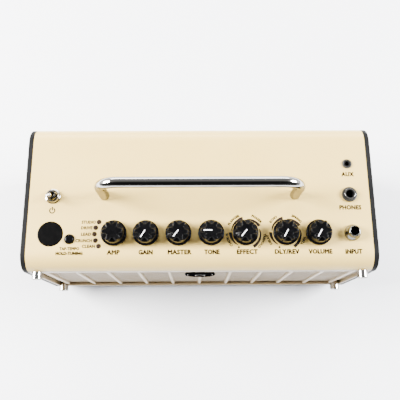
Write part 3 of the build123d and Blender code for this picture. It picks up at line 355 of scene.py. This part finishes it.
def add_piece(name, vertices, faces, material, body, smooth=True, sharp_angle=35):
    """A mesh that rides on a CAD body."""
    mesh = bpy.data.meshes.new(name)
    mesh.from_pydata([tuple(v) for v in vertices], [], faces)
    mesh.validate()
    mesh.materials.append(material)
    if smooth:
        mesh.shade_smooth()
        mesh.set_sharp_from_angle(angle=math.radians(sharp_angle))
    piece = bpy.data.objects.new(name, mesh)
    bpy.context.collection.objects.link(piece)
    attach(piece, body)
    return piece


def lathe(profile, centre, steps=64):
    """Vertices and faces of a closed ring or disc turned about an upright axis.

    profile lists (radius, height) round the section, up along its outer side."""
    vertices, faces, rows = [], [], []
    for radius, height in profile:
        if radius < 1e-9:
            rows.append([len(vertices)])
            vertices.append((centre[0], centre[1], centre[2] + height))
            continue
        row = []
        for step in range(steps):
            turn = 2 * math.pi * step / steps
            row.append(len(vertices))
            x = centre[0] + radius * math.cos(turn)
            vertices.append((x, centre[1] + radius * math.sin(turn), centre[2] + height))
        rows.append(row)
    for low, high in zip(rows, rows[1:]):
        join_rows(faces, low, high, steps)
    if len(rows[0]) > 1 and len(rows[-1]) > 1:
        join_rows(faces, rows[-1], rows[0], steps)
    return vertices, faces


def join_rows(faces, low, high, steps):
    """Faces between two rings of a lathe, either of which may be one point."""
    for step in range(steps):
        after = (step + 1) % steps
        if len(low) == 1:
            faces.append((low[0], high[after], high[step]))
        elif len(high) == 1:
            faces.append((low[step], low[after], high[0]))
        else:
            faces.append((low[step], low[after], high[after], high[step]))


def rounded(corners, radius, steps=4):
    """A section's points with every corner between its ends eased by a curve of about the given radius."""
    points = [corners[0]]
    for before, corner, after in zip(corners, corners[1:], corners[2:]):
        b, c, a = Vector(before), Vector(corner), Vector(after)
        reach = min(radius, (b - c).length / 2.1, (a - c).length / 2.1)
        start, end = c + (b - c).normalized() * reach, c + (a - c).normalized() * reach
        for step in range(steps + 1):
            t = step / steps
            points.append(tuple(start * (1 - t) ** 2 + c * 2 * t * (1 - t) + end * t**2))
    points.append(corners[-1])
    return points


# ---- Knobs ---------------------------------------------------------------------------------
KNOB_LOBES = 6
KNOB_STEPS = 240  # points round a ring
KNOB_ROUND = 1.1 * MM  # rounding of the top's edge
SKIRT_ROUND = 0.9 * MM
SKIRT_CHAMFER = 0.25 * MM
SKIRT_HEIGHT = 3.2 * MM
BODY_RADIUS = 8.7 * MM  # round body between the skirt and the flutes
BODY_FOOT = 0.15 * MM  # how far the body spreads where it meets the skirt
CREST_TOP = 8.0 * MM  # reach of a crest at the top
FLUTE_TOP = 5.3 * MM  # reach of the middle of a flute at the top
FLUTE_START = 0.72  # share of the body's height where the flutes begin, on their way up
FLUTE_WIDENING = 1.25  # above 1, a flute's bottom is level over a part of its width
FLUTE_EASE = 1.3
CREST_SHARE = 0.16  # plain share of the way from a crest's middle to a flute's
BODY_RISES = (0, 0.35, 0.65, 0.70, 0.72, 0.75, 0.80, 0.85, 0.90, 0.95, 1.0)
TOP_RINGS = ((0.93, 0.0), (0.80, 0.04), (0.60, 0.08), (0.30, 0.10))  # share of the edge's reach, dip in mm
UNDERSIDE = ((6.4, 0.0), (6.4, 2.8), (3.0, 2.8))  # the hollow's section: radius and height in mm
POINTER_WIDTH = 0.72 * MM
POINTER_FRONT = 5.9 * MM
POINTER_BACK = 0.5 * MM
POINTER_DEPTH = 0.45 * MM
FREE_START = 327.0  # where the knob without stops points, clockwise from the rear
FULL_LEFT = 210.0  # where the others point at their lower stop


def flute_reach(turn, rise):
    """How far a knob's body reaches, at an angle from the pointer and a share of its height.

    Six flutes are scooped out of the upper part, slanting in towards the top."""
    share = 2 * math.pi / KNOB_LOBES
    off_crest = abs(((turn / share + 0.5) % 1) - 0.5) * 2
    hollow = min(1.0, max(0.0, (off_crest - CREST_SHARE) / (1 - CREST_SHARE)) * FLUTE_WIDENING)
    hollow = math.sin(hollow * math.pi / 2) ** FLUTE_EASE
    crest = BODY_RADIUS + (CREST_TOP - BODY_RADIUS) * rise
    scoop = max(0.0, (rise - FLUTE_START) / (1 - FLUTE_START))
    return crest + (FLUTE_TOP - CREST_TOP) * scoop * hollow


def knob_levels(skirt_radius, height):
    """A knob's rings from its lower edge to its top edge, each a row of (reach, height)."""
    shoulder = SKIRT_HEIGHT - SKIRT_ROUND
    skirt = [(skirt_radius - SKIRT_CHAMFER, 0.0), (skirt_radius, SKIRT_CHAMFER), (skirt_radius, shoulder)]
    for step in range(1, 7):
        turn = math.pi / 2 * step / 6
        inset = SKIRT_ROUND * (1 - math.cos(turn))
        skirt.append((skirt_radius - inset, shoulder + SKIRT_ROUND * math.sin(turn)))
    levels = [[(reach, z)] * KNOB_STEPS for reach, z in skirt]
    turns = [2 * math.pi * around / KNOB_STEPS for around in range(KNOB_STEPS)]
    body_height = height - SKIRT_HEIGHT - KNOB_ROUND
    for rise in BODY_RISES:
        spread = BODY_FOOT if rise == 0 else 0.0
        z = SKIRT_HEIGHT + body_height * rise
        levels.append([(flute_reach(turn, rise) + spread, z) for turn in turns])
    for step in range(1, 8):
        bend = math.pi / 2 * step / 7
        inset = KNOB_ROUND * (1 - math.cos(bend))
        z = height - KNOB_ROUND * (1 - math.sin(bend))
        levels.append([(flute_reach(turn, 1.0) - inset, z) for turn in turns])
    return levels


def around_knob(centre, dial, step, reach):
    """Where one of a ring's points lies. They are counted anticlockwise from the pointer."""
    turn = dial - 2 * math.pi * step / KNOB_STEPS
    return centre.x + reach * math.sin(turn), centre.y + reach * math.cos(turn)


def add_knob(name):
    """A glossy knob with a round skirt, a round body fluted in its upper part and a dished top."""
    low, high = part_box(f"{name}_knob")
    centre = joint_place(f"{name}_turn")
    dial = DIALS[name]
    vertices, faces = [], []
    levels = knob_levels((high.x - low.x) / 2, high.z - low.z)
    for row in levels:
        for step, (reach, z) in enumerate(row):
            vertices.append((*around_knob(centre, dial, step, reach), low.z + z))
    for row in range(len(levels) - 1):
        for step in range(KNOB_STEPS):
            here = row * KNOB_STEPS + step
            after = row * KNOB_STEPS + (step + 1) % KNOB_STEPS
            faces.append((after, here, here + KNOB_STEPS, after + KNOB_STEPS))
    # the top, slightly dished towards the middle
    last = (len(levels) - 1) * KNOB_STEPS
    previous = list(range(last, last + KNOB_STEPS))
    for share, dip in TOP_RINGS:
        ring = list(range(len(vertices), len(vertices) + KNOB_STEPS))
        for edge in vertices[last : last + KNOB_STEPS]:
            x = centre.x + (edge[0] - centre.x) * share
            y = centre.y + (edge[1] - centre.y) * share
            vertices.append((x, y, high.z - dip * MM))
        for step in range(KNOB_STEPS):
            after = (step + 1) % KNOB_STEPS
            faces.append((previous[after], previous[step], ring[step], ring[after]))
        previous = ring
    tip = len(vertices)
    vertices.append((centre.x, centre.y, high.z - TOP_RINGS[-1][1] * MM))
    for step in range(KNOB_STEPS):
        faces.append((previous[(step + 1) % KNOB_STEPS], previous[step], tip))
    # the hollow underside
    outer = list(range(KNOB_STEPS))
    for radius, z in UNDERSIDE:
        inner = list(range(len(vertices), len(vertices) + KNOB_STEPS))
        for step in range(KNOB_STEPS):
            vertices.append((*around_knob(centre, dial, step, radius * MM), low.z + z * MM))
        for step in range(KNOB_STEPS):
            after = (step + 1) % KNOB_STEPS
            faces.append((outer[step], outer[after], inner[after], inner[step]))
        outer = inner
    faces.append(tuple(reversed(outer)))
    body = f"{name}_control"
    knob = add_piece(f"{name}_knob_shell", vertices, faces, GLOSS, body, True, 50)
    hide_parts(f"{name}_knob")
    if name != "amp":
        add_pointer(name, centre, dial, high.z)


def add_pointer(name, centre, dial, top_z):
    """The white line on a knob's top, with round ends, let into the plastic."""
    half = POINTER_WIDTH / 2
    outline = []
    for start, end_y in ((0.0, POINTER_FRONT - half), (math.pi, half - POINTER_BACK)):
        for step in range(13):
            turn = start + math.pi * step / 12
            outline.append((half * math.cos(turn), end_y + half * math.sin(turn)))
    vertices = []
    for level in (top_z - POINTER_DEPTH, top_z):
        for x, y in outline:
            world_x = centre.x + x * math.cos(dial) + y * math.sin(dial)
            world_y = centre.y - x * math.sin(dial) + y * math.cos(dial)
            vertices.append((world_x, world_y, level))
    count = len(outline)
    faces = [tuple(reversed(range(count))), tuple(range(count, 2 * count))]
    for step in range(count):
        after = (step + 1) % count
        faces.append((step, after, count + after, count + step))
    add_piece(f"{name}_pointer", vertices, faces, WHITE, f"{name}_control", False)


DIALS = {}
for knob_name in KNOBS:
    # the pointer's rest direction, clockwise from the rear, follows from the travel left on each side
    joint = joint_named(f"{knob_name}_turn")
    start = FREE_START if joint.get("continuous") else FULL_LEFT - joint["range_deg"][0]
    DIALS[knob_name] = math.radians(start)
for knob_name in KNOBS:
    add_knob(knob_name)

# ---- Printing on the panel -----------------------------------------------------------------
CAP_SHARE = 0.72  # height of a capital over the font's size
LETTER_SPACING = 1.06
STROKE_GAIN = 0.054  # how far every stroke is thickened, over the font's size
LEAST_STROKE_GAIN = 0.17 * MM
STROKE_STAMPS = 8
ARC_SWELL = 0.75  # under 1, a widening arc gains most of its width early
INK_HEIGHT = 0.02 * MM
INK_DEPTH = 0.005 * MM  # how far the ink reaches into the paint
PRINTS = {"panel_lettering": [], "panel_scales": []}


def text_mesh(words, size, stretch=1.0, align="CENTER"):
    """Flat lettering as a mesh in the XY plane, standing on its baseline."""
    curve = bpy.data.curves.new("lettering", "FONT")
    curve.body = words
    curve.size = size
    curve.align_x = align
    curve.resolution_u = 2
    curve.space_character = LETTER_SPACING
    holder = bpy.data.objects.new("lettering", curve)
    bpy.context.collection.objects.link(holder)
    bpy.context.view_layer.update()
    mesh = bpy.data.meshes.new_from_object(holder.evaluated_get(bpy.context.evaluated_depsgraph_get()))
    bpy.data.objects.remove(holder)
    for vertex in mesh.vertices:
        vertex.co.x *= stretch
    # the strokes are thickened by laying the letters down again a little to each side
    gain = max(size * STROKE_GAIN, LEAST_STROKE_GAIN)
    turns = [2 * math.pi * stamp / STROKE_STAMPS for stamp in range(STROKE_STAMPS)]
    shifts = [(gain * math.cos(turn), gain * math.sin(turn)) for turn in turns] + [(0.0, 0.0)]
    shape = bmesh.new()
    for shift_x, shift_y in shifts:
        copy = mesh.copy()
        for vertex in copy.vertices:
            vertex.co.x += shift_x
            vertex.co.y += shift_y
        shape.from_mesh(copy)
        bpy.data.meshes.remove(copy)
    shape.to_mesh(mesh)
    shape.free()
    return mesh


def lay_prints(layer):
    """Joins the flat meshes kept for one layer of ink and lays them on the panel."""
    shape = bmesh.new()
    for mesh in PRINTS[layer]:
        shape.from_mesh(mesh)
        bpy.data.meshes.remove(mesh)
    for vertex in shape.verts:
        vertex.co.z = PANEL_Z - INK_DEPTH
    result = bmesh.ops.extrude_face_region(shape, geom=shape.faces[:])
    for item in result["geom"]:
        if isinstance(item, bmesh.types.BMVert):
            item.co.z += INK_HEIGHT + INK_DEPTH
    bmesh.ops.recalc_face_normals(shape, faces=shape.faces)
    mesh = bpy.data.meshes.new(layer)
    shape.to_mesh(mesh)
    shape.free()
    mesh.materials.append(INK)
    piece = bpy.data.objects.new(layer, mesh)
    bpy.context.collection.objects.link(piece)
    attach(piece, "case")


def add_words(words, x, y, cap_height, stretch, align="CENTER"):
    """One line of lettering. y is the middle of its capitals; x is their middle, or their right end."""
    mesh = text_mesh(words, cap_height / CAP_SHARE, stretch, align)
    for vertex in mesh.vertices:
        vertex.co.x += x
        vertex.co.y += y - cap_height / 2
    PRINTS["panel_lettering"].append(mesh)


def add_curved_words(words, centre, radius, middle_turn, cap_height):
    """Lettering bent round a knob, its feet towards the knob. Angles run clockwise from the rear."""
    mesh = text_mesh(words, cap_height / CAP_SHARE)
    for vertex in mesh.vertices:
        turn = middle_turn + vertex.co.x / (radius + cap_height / 2)
        reach = radius + vertex.co.y
        vertex.co.x = centre.x + reach * math.sin(turn)
        vertex.co.y = centre.y + reach * math.cos(turn)
    PRINTS["panel_lettering"].append(mesh)


def add_strip(inner, outer):
    """A printed strip between two rows of points."""
    mesh = bpy.data.meshes.new("strip")
    count = len(inner)
    points = [(x, y, 0) for x, y in inner + outer]
    faces = [(i, i + 1, count + i + 1, count + i) for i in range(count - 1)]
    mesh.from_pydata(points, [], faces)
    PRINTS["panel_scales"].append(mesh)


def add_arc(x, y, start, end, inner, thin, thick, steps):
    """A printed arc, clockwise from the rear in degrees, that may widen from its start to its end."""
    inside, outside = [], []
    for step in range(steps + 1):
        share = step / steps
        turn = math.radians(start + (end - start) * share)
        reach = inner + thin + (thick - thin) * share**ARC_SWELL
        inside.append((x + inner * math.sin(turn), y + inner * math.cos(turn)))
        outside.append((x + reach * math.sin(turn), y + reach * math.cos(turn)))
    add_strip(inside, outside)


def add_dot(x, y, radius, count=24):
    """A printed dot."""
    mesh = bpy.data.meshes.new("dot")
    turns = [2 * math.pi * step / count for step in range(count)]
    points = [(x + radius * math.cos(turn), y + radius * math.sin(turn), 0) for turn in turns]
    mesh.from_pydata(points, [], [tuple(range(count))])
    PRINTS["panel_scales"].append(mesh)


# names under the knobs and sockets
NAME_HEIGHT = 3.35 * MM
SMALL_HEIGHT = 2.3 * MM
LABEL_DROP = 14.2 * MM
# words, stretch, and shift to the right in mm
LABELS = (
    ("AMP", 1.00, 0.0),
    ("GAIN", 0.93, 0.0),
    ("MASTER", 1.02, 0.7),
    ("TONE", 0.88, 0.5),
    ("EFFECT", 1.01, 1.0),
    ("DLY/REV", 1.0, 0.3),
    ("VOLUME", 0.94, 0.7),
)
SOCKET_STRETCH = 0.93
row_y = joint_place("gain_turn").y
for knob_name, (words, stretch, shift) in zip(KNOBS, LABELS):
    name_x = joint_place(f"{knob_name}_turn").x + shift * MM
    add_words(words, name_x, row_y - LABEL_DROP, NAME_HEIGHT, stretch)
for node_name, words, drop in (
    ("input_jack_barrel", "INPUT", 14.2),
    ("phones_jack_nut", "PHONES", 10.2),
    ("aux_jack_ring", "AUX", 8.4),
):
    spot = middle(node_name)
    add_words(words, spot.x, spot.y - drop * MM, NAME_HEIGHT, SOCKET_STRETCH)

# names beside the lamps round the first knob
LAMP_CENTRE = joint_place("amp_turn")
LAMP_RADIUS = 14.9 * MM
LAMP_FIRST = 142.0  # degrees anticlockwise from the right
LAMP_STEP = 19.5
LAMP_NAMES = ("STUDIO", "DRIVE", "LEAD", "CRUNCH", "CLEAN")
LAMP_NAME_GAP = 2.5 * MM


def lamp_place(index):
    """The middle of one of the lamps."""
    turn = math.radians(LAMP_FIRST + LAMP_STEP * index)
    return LAMP_CENTRE.x + LAMP_RADIUS * math.cos(turn), LAMP_CENTRE.y + LAMP_RADIUS * math.sin(turn)


for index, words in enumerate(LAMP_NAMES):
    x, y = lamp_place(index)
    add_words(words, x - LAMP_NAME_GAP, y, SMALL_HEIGHT, 0.90 if len(words) > 5 else 0.97, "RIGHT")

button = middle("tap_button")
for words, drop, stretch in (("TAP-TEMPO", 7.3, 0.84), ("HOLD-TUNING", 10.8, 0.88)):
    add_words(words, button.x + 0.5 * MM, button.y - drop * MM, SMALL_HEIGHT, stretch)

# the two selectors' scales: a dot at the off position, then four arcs with a name outside each
ARC_SPANS = ((215, 273), (279, 350), (5, 62), (72, 152))
ARC_RADIUS = 10.6 * MM
ARC_THIN = 0.45 * MM
ARC_THICK = 2.5 * MM
ARC_SHIFT = 0.4 * MM
ARC_NAME_RADIUS = 13.6 * MM
ARC_NAME_TURN = 4  # degrees past the arc's middle
ARC_NAME_HEIGHT = 1.85 * MM
OFF_TURN = math.radians(207)
OFF_RADIUS = 12.3 * MM
DOT_RADIUS = 0.85 * MM
for knob_name, names in (
    ("effect", ("CHORUS", "FLANGER", "PHASER", "TREMOLO")),
    ("delay", ("DELAY", "ECHO", "SPRING", "HALL")),
):
    spot = joint_place(f"{knob_name}_turn") + Vector((ARC_SHIFT, 0, 0))
    for words, (start, end) in zip(names, ARC_SPANS):
        add_arc(spot.x, spot.y, start, end, ARC_RADIUS, ARC_THIN, ARC_THICK, 28)
        name_turn = math.radians((start + end) / 2 + ARC_NAME_TURN)
        add_curved_words(words, spot, ARC_NAME_RADIUS, name_turn, ARC_NAME_HEIGHT)
    off_x = spot.x + OFF_RADIUS * math.sin(OFF_TURN)
    off_y = spot.y + OFF_RADIUS * math.cos(OFF_TURN)
    add_dot(off_x, off_y, DOT_RADIUS)

# the power symbol: an open ring with a bar through its gap
SYMBOL_SHIFT, SYMBOL_DROP = 0.1 * MM, 11.3 * MM
SYMBOL_RADIUS = 1.5 * MM
SYMBOL_STROKE = 0.9 * MM
SYMBOL_GAP = 32  # degrees on each side of the bar
BAR_FOOT, BAR_TOP = 0.1 * MM, 3.0 * MM
BAR_HALF = 0.5 * MM
toggle = middle("toggle_nut")
symbol_x, symbol_y = toggle.x + SYMBOL_SHIFT, toggle.y - SYMBOL_DROP
ring_ends = (SYMBOL_GAP, 360 - SYMBOL_GAP)
add_arc(symbol_x, symbol_y, *ring_ends, SYMBOL_RADIUS, SYMBOL_STROKE, SYMBOL_STROKE, 40)
bar_foot, bar_top = symbol_y + BAR_FOOT, symbol_y + BAR_TOP
bar_left, bar_right = symbol_x - BAR_HALF, symbol_x + BAR_HALF
add_strip([(bar_left, bar_foot), (bar_left, bar_top)], [(bar_right, bar_foot), (bar_right, bar_top)])
# a dark ring of ink round every lamp
LAMP_RING = 1.45 * MM
LAMP_STROKE = 0.45 * MM
for index in range(len(LAMP_NAMES)):
    add_arc(*lamp_place(index), 0, 360, LAMP_RING, LAMP_STROKE, LAMP_STROKE, 32)
for layer in PRINTS:
    lay_prints(layer)

# ---- Turned and moulded details ------------------------------------------------------------


def in_mm(section):
    """A section given in millimetres, in metres."""
    return [(radius * MM, height * MM) for radius, height in section]


def add_turned(name, profile, centre, material, body, steps=96, sharp_angle=35):
    """A turned piece from its section, upright, its heights counted from the given point."""
    vertices, faces = lathe(profile, centre, steps)
    return add_piece(name, vertices, faces, material, body, True, sharp_angle)


def add_facing(name, profile, x, y, z, material, body, steps=96):
    """A turned piece that faces the front: its section's heights run towards the front."""
    vertices, faces = lathe(profile, (0, 0, 0), steps)
    vertices = [(x + px, y - height, z + py) for px, py, height in vertices]
    return add_piece(name, vertices, faces, material, body)


BARREL_SECTION = (
    (4.53, 1.6),
    (4.53, 0.0),
    (6.2, 0.0),
    (6.2, 2.2),
    (4.65, 4.6),
    (4.55, 6.4),
    (4.15, 7.5),
    (3.45, 7.5),
    (3.25, 6.9),
    (3.25, 1.6),
)
barrel = in_mm(rounded(BARREL_SECTION, 0.35))
spot = panel_spot("input_jack_barrel")
input_barrel = add_turned("input_barrel", barrel, spot, NICKEL, "case")
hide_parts("input_jack_barrel")

# the headphone socket's nut, knurled round its rim
KNURL_STEPS = 144
KNURL_DEPTH = 0.14
KNURL_FROM = 5.6  # the knurl cuts into the section beyond this radius
NUT_SECTION = (
    (4.53, 0.0),
    (5.75, 0.0),
    (5.9, 0.15),
    (5.9, 1.45),
    (5.7, 1.8),
    (5.25, 2.0),
    (4.9, 2.0),
    (4.53, 1.85),
)
spot = panel_spot("phones_jack_nut")
vertices, faces = [], []
for radius, height in NUT_SECTION:
    for step in range(KNURL_STEPS):
        turn = 2 * math.pi * step / KNURL_STEPS
        cut = KNURL_DEPTH if step % 3 == 0 and radius > KNURL_FROM else 0.0
        reach = (radius - cut) * MM
        x, y = spot.x + reach * math.cos(turn), spot.y + reach * math.sin(turn)
        vertices.append((x, y, spot.z + height * MM))
for row in range(len(NUT_SECTION)):
    below, above = row * KNURL_STEPS, ((row + 1) % len(NUT_SECTION)) * KNURL_STEPS
    for step in range(KNURL_STEPS):
        after = (step + 1) % KNURL_STEPS
        faces.append((below + step, below + after, above + after, above + step))
phones_nut = add_piece("phones_nut", vertices, faces, JACK, "case", True, 30)
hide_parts("phones_jack_nut")

# the bright sleeve on the headphone socket's body, inside the nut
SLEEVE_IN, SLEEVE_OUT = 3.3, 4.4
SLEEVE_LAP, SLEEVE_STANDING = 0.1, 0.25  # below and above the body's top
body_top = (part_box("phones_jack_body")[1].z - PANEL_Z) / MM
sleeve_foot, sleeve_top = body_top - SLEEVE_LAP, body_top + SLEEVE_STANDING
sleeve_section = (
    (SLEEVE_IN, sleeve_foot),
    (SLEEVE_OUT, sleeve_foot),
    (SLEEVE_OUT, sleeve_top),
    (SLEEVE_IN, sleeve_top),
)
sleeve = in_mm(rounded(sleeve_section, 0.12))
add_turned("phones_sleeve", sleeve, spot, CHROME, "case")

RING_SECTION = ((2.63, 0.0), (3.8, 0.0), (3.8, 0.75), (3.4, 1.0), (2.95, 0.95), (2.63, 0.7))
ring = in_mm(rounded(RING_SECTION, 0.25))
aux_ring = add_turned("aux_ring", ring, panel_spot("aux_jack_ring"), JACK, "case")
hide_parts("aux_jack_ring")

# the toggle switch's dress nut: a flange under a round, slightly tapered collar
COLLAR_SECTION = ((4.03, 0.0), (6.0, 0.0), (6.0, 0.55), (5.2, 0.9), (5.0, 2.3), (4.6, 2.75), (4.03, 2.75))
collar = in_mm(rounded(COLLAR_SECTION, 0.3))
toggle_collar = add_turned("toggle_collar", collar, panel_spot("toggle_nut"), CHROME, "case")
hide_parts("toggle_nut")

# the display's lens, its edge bevelled in two steps
low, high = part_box("display_lens")
spot = middle("display_lens")
spot.z = low.z
reach, tall = (high.x - low.x) / 2 / MM, (high.z - low.z) / MM
lens_section = (
    (0.0, 0.0),
    (reach, 0.0),
    (reach, tall - 0.35),
    (reach - 0.1, tall - 0.12),
    (reach - 0.35, tall),
    (reach - 0.5, tall),
    (reach - 0.8, tall),
    (0.0, tall),
)
lens = in_mm(lens_section)
display_window = add_turned("display_window", lens, spot, WINDOW, "case", 128)
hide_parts("display_lens")

# the tap button: a domed cap over a stem with a wider foot
CAP_RADIUS = 3.6 * MM
DOME_RISE = 1.2 * MM
DOME_STEPS = 8
DOME_FULLNESS = 0.8
CAP_SINK = 0.6 * MM  # how far the cap reaches below the panel's top
STEM_FOOT = 1.0 * MM
low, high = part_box("tap_button")
spot = middle("tap_button")
spot.z = low.z
cap_low = PANEL_Z - low.z - CAP_SINK
dome_foot = high.z - low.z - DOME_RISE
cap = [(0.0, cap_low), (CAP_RADIUS, cap_low)]
for step in range(DOME_STEPS):
    turn = math.pi / 2 * step / DOME_STEPS
    cap.append((CAP_RADIUS * math.cos(turn) ** DOME_FULLNESS, dome_foot + DOME_RISE * math.sin(turn)))
cap.append((0.0, high.z - low.z))
tap_dome = add_turned("tap_dome", cap, spot, GLOSS, "tap", 64, 50)
foot_radius = (high.x - low.x) / 2
stem = [
    (0.0, 0.0),
    (foot_radius, 0.0),
    (foot_radius, STEM_FOOT),
    (CAP_RADIUS, STEM_FOOT),
    (CAP_RADIUS, cap_low),
    (0.0, cap_low),
]
add_turned("tap_stem", stem, spot, GLOSS, "tap", 64, 30)
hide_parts("tap_button")

# the badge: a dished disc with two bright rings let into its face
low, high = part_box("badge")
badge_x, badge_z = (low.x + high.x) / 2, (low.z + high.z) / 2
reach, deep = (high.x - low.x) / 2 / MM, (high.y - low.y) / MM
disc_section = (
    (0.0, 0.0),
    (reach, 0.0),
    (reach, deep - 0.7),
    (reach - 0.7, deep - 0.25),
    (reach - 1.6, deep - 0.75),
    (4.0, deep - 0.15),
    (0.0, deep - 0.1),
)
disc = in_mm(rounded(disc_section, 0.3))
badge_disc = add_facing("badge_disc", disc, badge_x, high.y, badge_z, BADGE, "case", 128)
for name, inner, outer, foot, top in (
    ("badge_rim", 9.8, 10.25, deep - 0.95, deep - 0.65),
    ("badge_centre_ring", 3.7, 4.15, deep - 0.3, deep - 0.1),
):
    trim = in_mm(rounded([(inner, foot), (outer, foot), (outer, top), (inner, top)], 0.12))
    add_facing(name, trim, badge_x, high.y, badge_z, CHROME, "case")
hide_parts("badge")

# ---- Grille --------------------------------------------------------------------------------
MESH_PITCH = 2.1 * MM
MESH_HOLE = 0.72 * MM  # from a hole's middle to its corners
SHEET_THICK = 0.8 * MM
SHEET_MARGIN = 0.5 * MM  # the sheet stays at least this far inside the grille's outline
SHEET_SET_BACK = 0.5 * MM
PIN_REACH = 4 * MM  # from the sides of the pins' box to the middle of a pin
PIN_CLEAR = 5.2 * MM  # no hole's middle lies nearer to a pin's
RIB_SPACING = 24.5 * MM
RIB_WIDTH = 3.0 * MM
RIB_COUNT = 11
RIB_END = 1.2 * MM  # from the grille's upper and lower edge to a rib's end
RIB_SINK = 0.2 * MM
RIB_FULLNESS = (0.8, 0.6)  # across and forwards; 1 is a plain ellipse, less is squarer
GRILLE_LOW, GRILLE_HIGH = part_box("grille")
pin_low, pin_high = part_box("grille_pins")
PIN_SPOTS = [
    (x, z)
    for x in (pin_low.x + PIN_REACH, pin_high.x - PIN_REACH)
    for z in (pin_low.z + PIN_REACH, pin_high.z - PIN_REACH)
]


def add_perforated(name, x_low, x_high, z_low, z_high, y_front, y_back):
    """Sheet metal punched with staggered six-sided holes.

    It is made of whole cells, so its edges are stepped, and it leaves out the cells near a pin."""
    row_step = MESH_PITCH * math.sqrt(3) / 2
    corner = MESH_PITCH / math.sqrt(3)
    vertices, faces, known = [], [], {}

    def point(x, y, z):
        key = (round(x * 1e7), round(y * 1e7), round(z * 1e7))
        if key not in known:
            known[key] = len(vertices)
            vertices.append((x, y, z))
        return known[key]

    rows = int((z_high - z_low - 2 * corner) / row_step) + 1
    columns = int((x_high - x_low - MESH_PITCH * 1.5) / MESH_PITCH) + 1
    start_x = (x_low + x_high - (columns - 0.5) * MESH_PITCH) / 2 + MESH_PITCH / 4
    start_z = (z_low + z_high - (rows - 1) * row_step) / 2
    for row in range(rows):
        for column in range(columns):
            x = start_x + (column + 0.5 * (row % 2)) * MESH_PITCH
            z = start_z + row * row_step
            if any(math.hypot(x - px, z - pz) < PIN_CLEAR for px, pz in PIN_SPOTS):
                continue
            loops = []
            for size, y in ((corner, y_front), (MESH_HOLE, y_front), (MESH_HOLE, y_back), (corner, y_back)):
                turns = [math.radians(30 + 60 * side) for side in range(6)]
                corners = [(x + size * math.cos(turn), z + size * math.sin(turn)) for turn in turns]
                loops.append([point(corner_x, y, corner_z) for corner_x, corner_z in corners])
            for outer, inner in zip(loops, loops[1:]):
                for side in range(6):
                    after = (side + 1) % 6
                    faces.append((outer[side], outer[after], inner[after], inner[side]))
    return add_piece(name, vertices, faces, MESH, "case", False)


def add_rib(name, x, z_low, z_high, y_back, y_front):
    """A pressed upright rib with a rounded front and level ends."""
    half = RIB_WIDTH / 2
    depth = y_back - y_front
    section = [(x - half, y_back + RIB_SINK)]
    for step in range(13):
        turn = math.pi * step / 12
        across = -math.cos(turn)
        bulge = math.sin(turn) ** RIB_FULLNESS[1]
        side_x = x + half * math.copysign(abs(across) ** RIB_FULLNESS[0], across)
        section.append((side_x, y_back - depth * bulge))
    section.append((x + half, y_back + RIB_SINK))
    vertices = [(px, py, z) for z in (z_low, z_high) for px, py in section]
    count = len(section)
    faces = [(step, (step + 1) % count, count + (step + 1) % count, count + step) for step in range(count)]
    faces.append(tuple(reversed(range(count))))
    faces.append(tuple(range(count, 2 * count)))
    add_piece(name, vertices, faces, RIB, "case", True, 40)


sheet_front_y = (GRILLE_LOW.y + GRILLE_HIGH.y) / 2 + SHEET_SET_BACK
grille_mesh = add_perforated(
    "grille_mesh",
    GRILLE_LOW.x + SHEET_MARGIN,
    GRILLE_HIGH.x - SHEET_MARGIN,
    GRILLE_LOW.z + SHEET_MARGIN,
    GRILLE_HIGH.z - SHEET_MARGIN,
    sheet_front_y,
    sheet_front_y + SHEET_THICK,
)
rib_low, rib_high = GRILLE_LOW.z + RIB_END, GRILLE_HIGH.z - RIB_END
for index in range(RIB_COUNT):
    rib_x = (index - (RIB_COUNT - 1) / 2) * RIB_SPACING
    add_rib(f"grille_rib_{index + 1}", rib_x, rib_low, rib_high, sheet_front_y, GRILLE_LOW.y)
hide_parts("grille")

# ---- Floor ---------------------------------------------------------------------------------
FLOOR_REACH = 6.0
FLOOR_COLOUR = (0.80, 0.81, 0.84)
FLOOR_OTHER = (0.83, 0.84, 0.87)
floor_material, nodes, links, shader = new_material("floor_paper", FLOOR_COLOUR, roughness=0.9)
floor_noise = noise_node(nodes, links, place_node(nodes, links), 9, 5)
vary_colour(nodes, links, shader, floor_noise, FLOOR_COLOUR, FLOOR_OTHER)
floor_mesh = bpy.data.meshes.new("floor")
floor_corners = [(x * FLOOR_REACH, y * FLOOR_REACH, 0) for x, y in ((-1, -1), (1, -1), (1, 1), (-1, 1))]
floor_mesh.from_pydata(floor_corners, [], [(0, 1, 2, 3)])
floor_mesh.materials.append(floor_material)
floor = bpy.data.objects.new("floor", floor_mesh)
bpy.context.collection.objects.link(floor)
